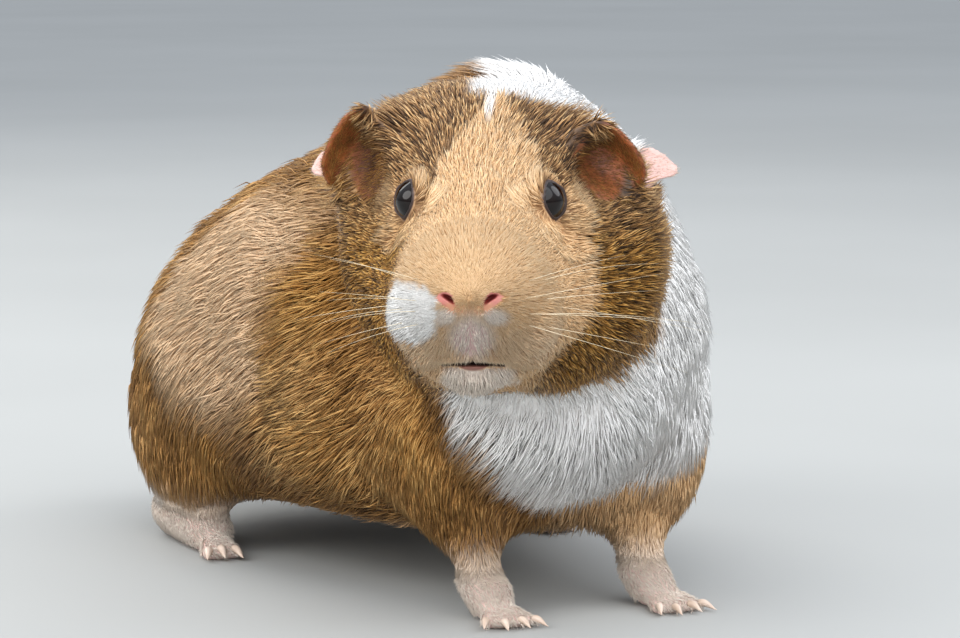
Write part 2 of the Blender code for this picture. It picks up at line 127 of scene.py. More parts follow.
# Ellipsoids with a soft edge, in the head frame unless they say body: strength, centre and half-axes.
# Those marked "both" are on both sides of the head.
SPOTS = {
    "ear hollow, both": (1, (26.3, 12, 7), (8.8, 10, 10.5)),
    # The ear depth spot marks where painted shade darkens the bottom of each ear's hollow
    "ear depth, both": (1, (23, 15.5, 5), (8.5, 11, 12)),
    "beside ear tops, both": (0.85, (21, 14, 18), (9, 13, 8)),
    "beside ears, both": (1.2, (22, 11, 5), (7, 10, 12)),
    "lips": (1, (0, -34, -27), (9, 14, 11)),
    "upper lip": (1, (0.2, -34, -26), (7, 12, 8)),
    "white lip": (0.6, (0.3, -34, -26.5), (7.5, 12, 8.5)),
    "under nostrils, both": (0.6, (5.4, -34, -21.4), (4.2, 12, 2.8)),
    "moustache": (0.75, (-12.5, -26, -35.5), (6.5, 13, 7)),
    "crown streak": (0.9, (1.2, 17, 22), (1.7, 14, 7)),
    "body, right groin": (0.65, (-44, 80, 12), (14, 15, 11)),
}
# The same for what changes the length of the hair and what lifts it, both on both sides of the head
LONGER_HAIR = (
    (-0.75, (23, 8.5, 3), (7.5, 9, 12)), (0.5, (16.5, 12, 18.5), (7, 13, 8)),
    (0.6, (14.5, -24, -27), (8.5, 14, 13)), (-0.4, (15.9, 0, 0), (10, 10, 10)),
)
LIFTED_HAIR = ((0.8, (20, -4, -40), (17, 22, 12)), (0.5, (38, 20, -14), (12, 20, 28)))

# Blaze on the face, in the head frame: height, right edge and left edge
BLAZE = (
    (30, 1.2, 2.2), (23, 0.6, 3.2), (17.5, -2.2, 8), (13, -6.4, 11.3), (9, -9.4, 12.6),
    (4, -10.4, 13.2), (0, -11.4, 14.2), (-4, -13.6, 18.5), (-7, -14.8, 23),
    (-11, -16.5, 26), (-20, -17.5, 27), (-27, -15.5, 24.5), (-32, -14, 18),
    (-37, -12.5, 14.5), (-44, -9, 10),
)
WHITE_PAD = ((-12.9, -28, -21), (7.8, 14, 7.3))
# The left cheek's round edge against the white, in the head frame: middle height, half-axes, roundness
CHEEK = (-9, 43.3, 39.8, 3)
# Buff bands on the flanks, in the model's frame: height, front edge, back edge
FLANK_BAND = (
    (100, 8, 30), (90, 0, 46), (82, 5, 52), (75, 13, 58),
    (62, 12, 69), (50, 10, 64), (40, 15, 54),
)
FLANK_FOOT = 40
LOBE_AT = (19, 22)
PAW_MARKS = (1, 0.6, 0)

# Hair: on the face by distance from the nose, on the body by node; each with its length and width
FACE_HAIR = (
    (4, 0.9, 0.15), (9, 1.8, 0.19), (16, 3.2, 0.24), (26, 4.6, 0.28), (40, 5.8, 0.3), (60, 8, 0.34),
)
BODY_HAIR = {
    "trunk": (15, 0.46), "rump": (15, 0.46), "chest": (12.5, 0.42), "neck": (11, 0.4),
    "foreleg": (7.5, 0.42), "hindleg": (10.5, 0.52), "forefoot": (2.4, 0.26), "hindfoot": (2.8, 0.28),
    "ear": (1.3, 0.11), "head": (6, 0.3), "lower_jaw": (3, 0.22), "nose": (0.9, 0.15),
}
# Heights between which the hair, short by the floor, comes to its full length
LOW_HAIR = (7, 24)
# How many times over the tufts cover the skin; ROOT_CELL is the side of the cells that keep them even
COVER = {"head": 4.5, "body": 4.15, "ear": 0.4, "foot": 3}
ROOT_CELL = 4
LOCK_OF = 8
HAIR_SINK = 0.35
BENT_FROM = 3.6
TUFT_LIMIT = 190000
# Where along a tuft its colour is the mean one, and where along it its marking is read
EVEN_TONE = 0.52
MARKED_AT = 0.6
# The map: faces above which a region's copy is thinned, and to how many; on the map, a tuft's patch
UNWRAP_FROM, UNWRAP_TO = 3000, 2500
UNWRAP_ANGLE, UNWRAP_MARGIN = 66, 0.006
PATCH = 0.003
# Degrees that a tuft lifts off the skin, more where it is short or stands out, and by chance
LIFT, SHORT_LIFT, OUT_LIFT, CLOUD_LIFT, CHANCE_LIFT = 13, 7, 24, 3, 3.5
LEAST_LIFT, MOST_LIFT = np.radians(5), np.radians(60)
CHANCE_TURN = np.radians(7)
ROOT_SEED, TUFT_SEED, LOCK_SEED, WHISKER_SEED = 5, 8, 9, 41
# Corners of one bent tuft of seven points and one straight hair of four
BENT_FACES = ((0, 2, 1), (0, 3, 5, 2), (2, 5, 4, 1), (1, 4, 3, 0), (3, 6, 5), (5, 6, 4), (4, 6, 3))
STRAIGHT_FACES = ((0, 2, 1), (0, 3, 2), (2, 3, 1), (1, 3, 0))
# Each point's place in a tuft's patch of the map: across, and from root to tip
BENT_PATCH = ((0.5, 0), (-0.5, 0), (0, 0), (0.4, 0.5), (-0.4, 0.5), (0, 0.5), (0, 1))
STRAIGHT_PATCH = ((0.5, 0), (-0.5, 0), (0, 0), (0, 1))

# Whiskers: height and number of each row, each hair's own size, and where on the pad a row starts
WHISKER_ROWS = ((-14.5, 2), (-17.5, 2), (-20.5, 3), (-23.5, 2))
PAD_INNER, PAD_STEP = 11, 3.2
WHISKER_LENGTH = (20, 38)
WHISKER_RADIUS = 0.055
WHISKER_STEPS = 8
WHISKER_SIDES = 5
WHISKER_SWEEP = 0.34
WHISKER_DROOP = (0.04, 0.2)
# Metres from the middle of the model that no whisker passes
WHISKERS_WITHIN = 0.076

# Colours, 0 to 255: of hair from root to tip, then pairs of tones that a fine noise moves between
AGOUTI = (
    (0, (62, 46, 35)), (0.3, (112, 82, 54)), (0.6, (184, 142, 96)), (0.8, (224, 188, 138)),
    (1, (106, 80, 58)),
)
GOLD = (
    (0, (48, 32, 14)), (0.3, (98, 66, 26)), (0.6, (172, 122, 54)), (0.82, (222, 174, 98)),
    (1, (100, 68, 30)),
)
# Buff and white are darker at the root than at the tip: painted shade down among the hairs
BUFF = ((0, (172, 130, 90)), (0.4, (216, 177, 131)), (1, (246, 219, 180)))
WHITE = ((0, (216, 211, 206)), (0.35, (240, 238, 236)), (1, (254, 253, 251)))
# What covers the coat's own colour on the skin, in this order: an attribute, and two tones for each of
# its numbers
SKIN_LAYERS = {
    "ears": (
        # Inside of the ear, back of the ear, and near-black painted shade deep in the ear's hollow
        ((108, 50, 18), (170, 92, 46)), ((182, 130, 120), (202, 154, 144)), ((52, 27, 14), (84, 42, 22)),
    ),
    "nose": (
        ((156, 116, 114), (184, 146, 142)), ((170, 92, 84), (194, 124, 114)),
        ((176, 116, 82), (198, 142, 108)),
    ),
    # raw: the bare rim round the eyes, the dark lid edge, and the nostrils' insides, whose dark red is
    # partly the lining's own colour and partly painted shade in the holes
    "raw": (((86, 58, 56), (114, 82, 78)), ((34, 20, 16), (48, 29, 23)), ((96, 20, 20), (150, 52, 48))),
    "mouth": (
        # mouth: the lower lip, the slit between the lips in near-black painted shade, and the pale feet
        # and ear lobes
        ((122, 76, 64), (150, 100, 86)), ((34, 16, 14), (54, 26, 22)),
        ((226, 188, 178), (240, 210, 200)),
    ),
}
# Noise's scale, detail and stretch, two tones, roughness, and either a bump's depth or a specular level
PLAIN = {
    "eye": (420, 2, None, (8, 5, 4), (20, 11, 8), 0.05, None, 0.32),
    "claw": (500, 2, (1, 0.15, 1), (196, 170, 150), (226, 206, 190), 0.35, 0.1, None),
    "whisker": (80, 2, None, (226, 206, 168), (246, 232, 204), 0.4, None, None),
    "floor": (3, 3, None, (158, 158, 155), (164, 164, 161), 0.85, None, None),
}
COAT_SPECULAR = 0.16
SKIN_BUMP = 0.2

# Stage, in metres: the sky's linear colours by height, and each light's place, size, power and colour
FLOOR_RADIUS, FLOOR_SEGMENTS = 8, 96
SKY = ((0, (0.305, 0.328, 0.37)), (0.12, (0.56, 0.58, 0.60)), (0.9, (1, 1.1, 1.25)))
LIGHTS = {
    "sky_light": ((-0.3, -1.1, 1.25), 2.6, 37, (0.97, 0.985, 1)),
    "right_light": ((-1.3, -0.1, 0.75), 1, 11, (1, 0.99, 0.96)),
    "left_light": ((0.9, -0.3, 0.8), 0.8, 5, (0.97, 0.98, 1)),
    "back_light": ((-0.3, 1.1, 0.9), 0.9, 8, (1, 0.99, 0.96)),
}


# ---- arrays and fields
def rng(seed):
    """A source of random numbers that starts the same in every run."""
    return np.random.default_rng(seed)


def step(values, start, end):
    """Rises smoothly from 0 at start to 1 at end."""
    t = np.clip((values - start) / (end - start), 0, 1)
    return t * t * (3 - 2 * t)


def fall(values, start, end):
    """Falls smoothly from 1 at start to 0 at end."""
    return 1 - step(values, start, end)


def band(values, low, high, edge):
    """1 between low and high, fading to 0 over edge on both sides."""
    return step(values, low - edge, low + edge) * fall(values, high - edge, high + edge)


def bump(values, middle, width):
    """1 at middle, fading like a bell over width."""
    return np.exp(-((values - middle) / width) ** 2)


def blend(first, second, share):
    """The first where share is 0 and the second where it is 1."""
    return first * (1 - share) + second * share


def length_of(vectors):
    return np.linalg.norm(vectors, axis=1)


def unit(vectors):
    return vectors / np.maximum(length_of(vectors), 1e-12)[:, None]


def dot(a, b):
    return np.sum(a * b, axis=1)


def turned(first, second, angle):
    """The first direction turned towards the second, at right angles to it, by an angle each."""
    return first * np.cos(angle)[:, None] + second * np.sin(angle)[:, None]


def blob(points, centre, size):
    """1 in the middle of an ellipsoid and 0 outside it, with a soft edge."""
    away = length_of((points - np.array(centre)) / np.array(size))
    return fall(away, 0.35, 1)


def rounded(x, z, power):
    """How far out a place is in a rounded outline of half-axes 1: 2 makes it an ellipse, more a box."""
    return (np.abs(x) ** power + np.abs(z) ** power) ** (1 / power)


def mirrored(head_mm):
    """Points with those of the head's right half moved to its left."""
    return np.column_stack((np.abs(head_mm[:, 0]), head_mm[:, 1:]))


def spot(points, name):
    """How strongly each point is in one of the SPOTS."""
    strength, centre, size = SPOTS[name]
    return strength * blob(mirrored(points) if name.endswith("both") else points, centre, size)


def cloud(points, size, seed):
    """Smooth random values from -1 to 1 that change over about one size."""
    cell = points / size + np.array((17.3, 5.9, 11.1)) * seed
    base = np.floor(cell).astype(np.int64)
    part = cell - base
    part = part * part * (3 - 2 * part)
    total = np.zeros(len(points))
    for corner in itertools.product((0, 1), repeat=3):
        key = base + np.array(corner)
        mixed = (key[:, 0] * 73856093) ^ (key[:, 1] * 19349663) ^ (key[:, 2] * 83492791)
        mixed = ((mixed ^ (mixed >> 13)) * 1274126177) & 0x7FFFFFFF
        mixed = mixed ^ (mixed >> 15)
        value = (mixed % 65536) / 32768 - 1
        total += np.prod(np.where(corner, part, 1 - part), axis=1) * value
    return total


def profile(values, rows, column):
    """A column of a table of rows, read at values of the first column."""
    rows = sorted(rows)
    return np.interp(values, [row[0] for row in rows], [row[column] for row in rows])


def centre_of(node):
    low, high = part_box(node)
    return (Vector(low) + Vector(high)) / 2


EYE_CENTRES = {side: centre_of(f"eye_{side}") for side in SIDES}
EYE_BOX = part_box("eye_left")
EYE_RADIUS = (EYE_BOX[1][2] - EYE_BOX[0][2]) / 2
BALL = EYE_RADIUS / MM
BETWEEN_EYES = (EYE_CENTRES["left"] + EYE_CENTRES["right"]) / 2
ACROSS = (EYE_CENTRES["left"] - EYE_CENTRES["right"]).normalized()
UP = Vector((0, 0, 1))
BACK = UP.cross(ACROSS)
HEAD_AXES = np.array([ACROSS, BACK, UP])


def in_head(points):
    """Points of the model, in metres, as millimetres in the head frame."""
    return (points - np.array(BETWEEN_EYES)) @ HEAD_AXES.T / MM


def from_head(head_mm):
    return head_mm * MM @ HEAD_AXES + np.array(BETWEEN_EYES)


def turned_from_head(vectors):
    return vectors @ HEAD_AXES


def from_nose(head_mm):
    """Distance from the tip of the nose."""
    return length_of(head_mm - np.array(NOSE_TIP))


# ---- meshes
def read(items, name, width, kind=float):
    """One property of all the items of a mesh, a row for each."""
    values = np.empty(len(items) * width, dtype=kind)
    items.foreach_get(name, values)
    return values.reshape(-1, width)


def write(items, name, values, kind=np.float32):
    """Sets one property of all the items of a mesh."""
    items.foreach_set(name, np.asarray(values, dtype=kind).ravel())


def mesh_arrays(mesh):
    """Points and triangles of a mesh."""
    mesh.calc_loop_triangles()
    return read(mesh.vertices, "co", 3), read(mesh.loop_triangles, "vertices", 3, np.int64)


def mesh_edges(mesh):
    return read(mesh.edges, "vertices", 2, np.int64)


def tree_of(points, triangles):
    """A tree that finds the nearest place on a mesh."""
    return BVHTree.FromPolygons(points.tolist(), triangles.tolist())


def new_mesh(name, points, corners, sizes):
    """A mesh from points, the corners of all its faces in a row, and how many corners each face has."""
    mesh = bpy.data.meshes.new(name)
    mesh.vertices.add(len(points))
    write(mesh.vertices, "co", points)
    mesh.loops.add(len(corners))
    write(mesh.loops, "vertex_index", corners, np.int32)
    mesh.polygons.add(len(sizes))
    write(mesh.polygons, "loop_start", np.concatenate(([0], np.cumsum(sizes)[:-1])), np.int32)
    write(mesh.polygons, "use_smooth", np.ones(len(sizes)), bool)
    mesh.update(calc_edges=True)
    return mesh


def from_bmesh(name, solid):
    mesh = bpy.data.meshes.new(name)
    solid.to_mesh(mesh)
    solid.free()
    return mesh


def new_object(name, data):
    thing = bpy.data.objects.new(name, data)
    bpy.context.scene.collection.objects.link(thing)
    return thing


def given(thing, **settings):
    """The thing with these settings."""
    for key, value in settings.items():
        setattr(thing, key, value)
    return thing


def modify(thing, kind, **settings):
    """Changes an object's mesh by one modifier."""
    given(thing.modifiers.new(kind, kind), **settings)
    graph = bpy.context.evaluated_depsgraph_get()
    mesh = bpy.data.meshes.new_from_object(thing.evaluated_get(graph), depsgraph=graph)
    thing.modifiers.clear()
    thing.data = mesh


def vertex_normals(points, triangles):
    a, b, c = (points[triangles[:, i]] for i in range(3))
    face = np.cross(b - a, c - a)
    total = np.zeros_like(points)
    for corner, axis in itertools.product(range(3), range(3)):
        total[:, axis] += np.bincount(triangles[:, corner], face[:, axis], len(points))
    return unit(total)


def relaxed(values, edges, rounds, strength=0.7):
    """Values at the points of a mesh, each drawn towards the mean of its neighbours."""
    values = values.copy()
    one, two = edges.T
    count = len(values)
    degree = np.maximum(np.bincount(one, minlength=count) + np.bincount(two, minlength=count), 1)
    for _ in range(rounds):
        for axis in range(values.shape[1]):
            column = values[:, axis]
            total = np.bincount(one, column[two], count) + np.bincount(two, column[one], count)
            column += (total / degree - column) * strength
    return values


def attribute(mesh, name, *columns):
    """Three numbers on every point, for the materials."""
    write(mesh.attributes.new(name, "FLOAT_VECTOR", "POINT").data, "vector", np.column_stack(columns))


# ---- skin
def stacked(nodes, growth=0):
    """Points and triangles of nodes as one mesh, and each triangle's node; only flesh is grown."""
    points, triangles, owners, offset = [], [], [], 0
    for node in nodes:
        own, faces = mesh_arrays(bpy.data.objects[node].data)
        points.append(own + vertex_normals(own, faces) * (growth if node in FLESH else 0))
        triangles.append(faces + offset)
        owners += [node] * len(faces)
        offset += len(own)
    return np.vstack(points), np.vstack(triangles), owners


class Regions:
    """Tells which kind of CAD node, without its side, lies nearest to a point."""

    def __init__(self):
        points, triangles, owners = stacked(FLESH)
        self.tree = tree_of(points, triangles)
        self.kinds = [node.removesuffix("_left").removesuffix("_right") for node in owners]

    def kinds_at(self, points):
        return np.array([self.kinds[self.tree.find_nearest(point)[2]] for point in points.tolist()])


def swollen_flesh():
    """All flesh nodes and the eyes in one mesh, grown a little so that the cuts between them close."""
    points, triangles, _ = stacked(FLESH + [f"eye_{side}" for side in SIDES], JOINT_CLOSING * MM)
    return new_mesh("skin", points, triangles.ravel(), np.full(len(triangles), 3))


def eye_at(side):
    """An eye's centre in the head frame."""
    return in_head(np.array([EYE_CENTRES[side]]))


def detail_zone(head_mm, kinds):
    """Where the skin keeps its fine mesh: face, ears and feet."""
    zone = (head_mm[:, 1] < -2) & np.isin(kinds, HEAD_KINDS) | np.isin(kinds, ("ear",) + FEET)
    for side in SIDES:
        zone |= length_of(head_mm - eye_at(side)) < 15
    return zone


def fine_zone(head_mm):
    """Where lids, nostrils and lips need a finer mesh still."""
    x, y, z = head_mm.T
    fine = (np.abs(x) < 11) & (y < -19) & band(z, -36, -10, 0.5).astype(bool)
    for side in SIDES:
        offset = head_mm - eye_at(side)
        fine |= (length_of(offset) < 9.5) & (offset @ eye_axes(side)[0] > 0.5)
    return fine


def remeshed_skin():
    """One closed skin round all the flesh, smooth, and deeper than the CAD by the coat's depth."""
    skin = new_object("skin", swollen_flesh())
    modify(skin, "REMESH", mode="VOXEL", voxel_size=SKIN_VOXEL * MM)
    regions = Regions()
    points, triangles = mesh_arrays(skin.data)
    edges = mesh_edges(skin.data)
    kinds = regions.kinds_at(points)
    strength = relaxed(np.array([SMOOTHING.get(kind, 1) for kind in kinds])[:, None], edges, 12)
    for _ in range(SMOOTH_TIMES):
        points += (relaxed(points, edges, SMOOTH_ROUNDS, 0.6) - points) * strength
    depth = np.array([COAT_DEPTH[kind] for kind in kinds])[:, None]
    head_mm = in_head(points)
    on_head = np.isin(kinds, ("head", "lower_jaw"))[:, None]
    depth = np.where(on_head, depth * step(from_nose(head_mm), 5, 42)[:, None] + FACE_DEPTH, depth)
    depth *= 1 - 0.9 * spot(head_mm, "ear hollow, both")[:, None]
    depth *= 1 - spot(head_mm, "beside ear tops, both")[:, None]
    depth = relaxed(depth, edges, 40)
    for _ in range(SINK_ROUNDS):
        points -= vertex_normals(points, triangles) * depth * (MM / SINK_ROUNDS)
        points += (relaxed(points, edges, 3, 0.5) - points) * strength
    write(skin.data.vertices, "co", points)
    group = skin.vertex_groups.new(name="coarse")
    group.add(np.nonzero(~detail_zone(in_head(points), kinds))[0].tolist(), 1, "REPLACE")
    modify(skin, "DECIMATE", ratio=BODY_KEPT, vertex_group=group.name, use_collapse_triangulate=True)
    skin.vertex_groups.clear()
    return skin, regions


def refined(skin):
    """The skin's points after its triangles are split, twice, where lids, nostrils and lips are."""
    for _ in range(2):
        solid = bmesh.new()
        solid.from_mesh(skin.data)
        fine = fine_zone(in_head(np.array([vertex.co for vertex in solid.verts])))
        solid.verts.ensure_lookup_table()
        chosen = [edge for edge in solid.edges if all(fine[vertex.index] for vertex in edge.verts)]
        bmesh.ops.subdivide_edges(solid, edges=chosen, cuts=1, use_grid_fill=True)
        bmesh.ops.triangulate(solid, faces=[face for face in solid.faces if len(face.verts) > 3])
        solid.to_mesh(skin.data)
        solid.free()
    points, _ = mesh_arrays(skin.data)
    edges = mesh_edges(skin.data)
    fine = relaxed(fine_zone(in_head(points)).astype(float)[:, None], edges, 6)
    points += (relaxed(points, edges, 30, 0.6) - points) * fine
    return points


def eye_axes(side):
    """Outward, backward and upward directions at an eye, in the head frame."""
    outward = Vector((EYE_OUTWARD.x * SIDES[side], EYE_OUTWARD.y, EYE_OUTWARD.z))
    across = outward.cross(UP).normalized() * -SIDES[side]
    upward = outward.cross(across).normalized()
    if upward.z < 0:
        upward.negate()
    slant = math.radians(EYE_SLANT)
    along = across * math.cos(slant) + upward * math.sin(slant)
    raised = upward * math.cos(slant) - across * math.sin(slant)
    return np.array((outward, along, raised))


def eye_measures(head_mm, side):
    """Distance of points from an eye's centre, their place along and up its ball, and how far across its
    opening they reach: 1 on the lids' edge, and a large number behind the eye.
    """
    offset = head_mm - eye_at(side)
    away = length_of(offset)
    outward, along, raised = (offset @ eye_axes(side).T).T
    along, raised = (np.arctan2(place, np.maximum(outward, 0.01)) * BALL for place in (along, raised))
    wide, high = EYE_OPENING
    reach = rounded(along / wide, raised / high, EYE_POINT)
    return away, along, raised, np.where((outward > 0.01) & (away < 14), reach, 9)


def rim_reach(along, raised):
    """Where the bare rim of the lids ends: well past their edge behind the eye, close to it in front."""
    extra = RIM_EXTRA * step(along, -0.5, 2.5) * fall(raised, 1, 3.6) * fall(-raised, 2.8, 4.8)
    return 1 + (RIM_LEAST + extra)


def sculpt_eyes(head_mm):
    """Sinks a socket behind each eyeball and lays lids on it, which run smoothly into the face."""
    for side in SIDES:
        away, along, raised, reach = eye_measures(head_mm, side)
        lid = BALL + LID_EDGE + LID_RISE * step(reach, 1, 1.35)
        wanted = BALL - SOCKET_DEPTH + (lid - BALL + SOCKET_DEPTH) * step(reach, 0.9, 1)
        rim = rim_reach(along, raised)
        crease = CREASE_DEPTH * band(reach, rim + 0.02, rim + 0.12, 0.08)
        target = blend(wanted, away, step(reach, rim, rim + RIM_FADE)) - crease
        target = np.where(reach > 1, np.maximum(target, BALL + LID_EDGE * 0.8), target)
        moved = eye_at(side) + (head_mm - eye_at(side)) * (target / away)[:, None]
        head_mm = np.where((reach < 8)[:, None], moved, head_mm)
    return head_mm


def nostril_axes(head_mm, sign):
    """Places along and across a nostril's slit, which slopes down towards the middle."""
    slant = math.radians(NOSTRIL_SLANT)
    x = head_mm[:, 0] * sign - NOSTRIL_AT[0]
    z = head_mm[:, 2] - NOSTRIL_AT[2]
    along = x * math.cos(slant) + z * math.sin(slant)
    across = -x * math.sin(slant) + z * math.cos(slant)
    return along, across + NOSTRIL_CURVE * along ** 2


def nostril_reach(head_mm, sign):
    """1 on the edge of a nostril's slit."""
    along, across = nostril_axes(head_mm, sign)
    return np.hypot(along / NOSTRIL_SIZE[0], across / NOSTRIL_SIZE[1])


def nostril_rim(head_mm, sign):
    """1 on the edge of the bare skin round a nostril, most of which hangs below the slit."""
    along, across = nostril_axes(head_mm, sign)
    return np.hypot((along + 0.1) / NOSTRIL_RIM[0], (across + 0.3) / NOSTRIL_RIM[1])


def on_muzzle_front(head_mm):
    return (head_mm[:, 1] < -20) & (np.abs(head_mm[:, 0]) < 13)


def over_mouth(head_mm):
    """Places across from the mouth's middle and above its slit."""
    across = head_mm[:, 0] - MOUTH_AT[0]
    return across, head_mm[:, 2] - (MOUTH_AT[2] - MOUTH_BEND * across ** 2)


def sculpt_muzzle(head_mm):
    """Nostrils with their wings, the groove of the upper lip, the mouth and the lower lip."""
    x, _, z = head_mm.T
    push = np.zeros(len(head_mm))
    for sign in SIDES.values():
        along, across = nostril_axes(head_mm, sign)
        hole = fall(nostril_reach(head_mm, sign), 0.4, 1.15)
        push += NOSTRIL_DEPTH * hole * (1 - 0.45 * step(along, -0.6, 1.8))
        push -= WING_RISE * bump(along, 0.3, 1.9) * bump(across, -1.35, 1.1)
        push -= WING_RISE * bump(along, 0, 1.8) * bump(across, 1.1, 0.6)
    push += GROOVE_DEPTH * bump(x, 0.1, 1.1) * band(z, MOUTH_AT[2], -18.6, 1.4)
    across, above = over_mouth(head_mm)
    within = fall(np.abs(across), MOUTH_HALF * 0.8, MOUTH_HALF * 1.1)
    push += MOUTH_DEPTH * bump(above, 0.1, 0.5) * within
    push -= UPPER_LIP_RISE * bump(above, 1.4, 1.1) * within
    push -= LOWER_LIP_RISE * bump(above, -LIP_DROP, 0.6) * fall(np.abs(across), 1.8, 4.6)
    head_mm[:, 1] += np.where(on_muzzle_front(head_mm), push, 0)
    return head_mm


def claws():
    """Each claw's name, tip, direction, length and thickness, from the furthest points of each foot."""
    for node in (name for name in FLESH if name.startswith(FEET)):
        kind, side = node.split("_")
        points, _ = mesh_arrays(bpy.data.objects[node].data)
        for index, fan in enumerate(TOE_FANS[kind]):
            turn = math.radians(fan + FOOT_TURN[kind] * SIDES[side])
            ahead = np.array((math.sin(turn), -math.cos(turn), 0))
            tip = points[np.argmax(points @ ahead)]
            length, thickness = CLAW_LENGTH[kind] * MM, CLAW_THICKNESS[kind] * MM
            yield f"claw_{node}_{index + 1}", tip, ahead, length, thickness


def draw_back_toes(points):
    """Pulls the skin back from each claw, so that the claw alone reaches the tip."""
    for _, tip, ahead, length, thickness in claws():
        offset = points - tip
        along = offset @ ahead
        aside = length_of(offset - along[:, None] * ahead)
        bare = -length * CLAW_BARE
        covered = (along > bare) & (aside < thickness * CLAW_BED)
        points -= np.where(covered, (along - bare) * TOE_DRAWN, 0)[:, None] * ahead
    return points


def make_skin():
    skin, regions = remeshed_skin()
    head_mm = sculpt_muzzle(sculpt_eyes(in_head(refined(skin))))
    points = draw_back_toes(from_head(head_mm))
    points[:, 2] -= SOLE_PRESS * MM * fall(points[:, 2] / MM, 1, 6)
    points[:, 2] = np.maximum(points[:, 2], 0)
    write(skin.data.vertices, "co", points)
    skin.data.update()
    skin.data.shade_smooth()
    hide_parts(*FLESH)
    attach(skin, "root")
    return skin, regions


# ---- markings
def on_shoulder(mm):
    """1 on the pale golden right shoulder."""
    return band(mm[:, 1], -52, 5, 9) * step(-mm[:, 0], 18, 32) * band(mm[:, 2], 32, 84, 9)


def blaze_and_pad(mm, head_mm, ragged):
    """The buff blaze of the face, and the white patch on the right whisker pad."""
    _, y, z = head_mm.T
    inside = np.minimum(head_mm[:, 0] - profile(z, BLAZE, 1), profile(z, BLAZE, 2) - head_mm[:, 0])
    inside = inside / (1.5 - 0.9 * step(z, -4, 6)) + ragged * 0.7
    blaze = step(inside, -0.8, 1) * (1 - step(y + ragged, 8, 16) * fall(z, 16, 19))
    fuzzy = ragged * 0.13 + cloud(mm, 0.9, 5) * 0.12
    pad = fall(length_of((head_mm - np.array(WHITE_PAD[0])) / np.array(WHITE_PAD[1])) + fuzzy, 0.8, 1.12)
    return blaze, pad


def head_markings(mm, head_mm, ragged, cheek, nape):
    """Buff, white and gold on the head."""
    x, y, z = head_mm.T
    blaze, pad = blaze_and_pad(mm, head_mm, ragged)
    lip = np.maximum(spot(head_mm, "white lip"), spot(head_mm, "under nostrils, both"))
    eye_ring = np.zeros(len(mm))
    for side in SIDES:
        eye_ring = np.maximum(eye_ring, band(eye_measures(head_mm, side)[3], 1.3, 2.3, 0.35))
    cheek_edge = 0.5 * band(cheek, 0.93, 1, 0.05) * step(x, 8, 20)
    buff = np.maximum(blaze * (1 - pad) * (1 - 0.5 * lip), 0.62 * eye_ring)
    buff = np.maximum.reduce([buff, spot(head_mm, "moustache"), cheek_edge])
    # The chin's fur is white, but only 0.6 of it is painted white and the rest agouti: painted shade
    # under the jaw
    shaded_chin = 0.6 * step(-z + ragged * 0.6, 32.5, 34.5) * fall(np.abs(x - 1) + ragged, 6.5, 9.5)
    shaded_chin = shaded_chin * fall(y, -8, 0)
    throat = step(-z + ragged, 43, 46) * step(x + ragged, -12, -8)
    # A little white mixed into the blaze on the lower muzzle: painted fill light on the muzzle's
    # underside
    lower_muzzle_fill = 0.12 * band(-z, 24, 35, 4) * step(-y, 12, 20)
    streak = spot(head_mm, "crown streak")
    white = np.maximum.reduce([pad, lip, shaded_chin, streak, nape, throat, lower_muzzle_fill * blaze])
    return buff, white, step(-z, -2, 14) * step(np.abs(x) + ragged, 10, 20)


def body_markings(mm, head_mm, rough, beyond_head):
    """Buff, white and gold on the body."""
    x, y, z = mm.T
    head_x, _, head_z = head_mm.T
    bib = step(z - 22 - 0.0135 * (x - 10) ** 2 + rough * 0.8, -1.5, 3) * step(x + rough * 0.4, -34, -30)
    bib = bib * (1 - step(y, -66, -58) * fall(x, -16, -6)) * fall(y, -30, -22)
    bib *= np.maximum(step(head_x, -24, -16), step(-head_z, 38, 42))
    left_side = step(head_x + rough * 0.5, -6, -1) * fall(y + rough - 0.10 * (z - 60), -10, -4)
    left_side *= step(z + rough, 36, 42)
    stripe = np.minimum(y - profile(z, FLANK_BAND, 1), profile(z, FLANK_BAND, 2) - y) + rough * 1.6
    flank = step(stripe, -8, 4) * step(z + rough * 1.3, FLANK_FOOT - 9, FLANK_FOOT + 8)
    flank *= step(np.abs(x) + rough * 0.6, 28, 39)
    shin = 0.85 * band(y, -80, -35, 8) * fall(z, 34, 44) * step(x, 2, 10)
    white = np.maximum(bib, left_side) * beyond_head
    white = np.maximum.reduce([white, spot(mm, "body, right groin"), 0.12 * flank])
    gold = (0.45 + 0.3 * cloud(mm, 22, 7)) * (1 - 0.8 * step(head_z, 8, 18)) + 0.25 * on_shoulder(mm)
    return np.maximum(flank, shin), white, gold


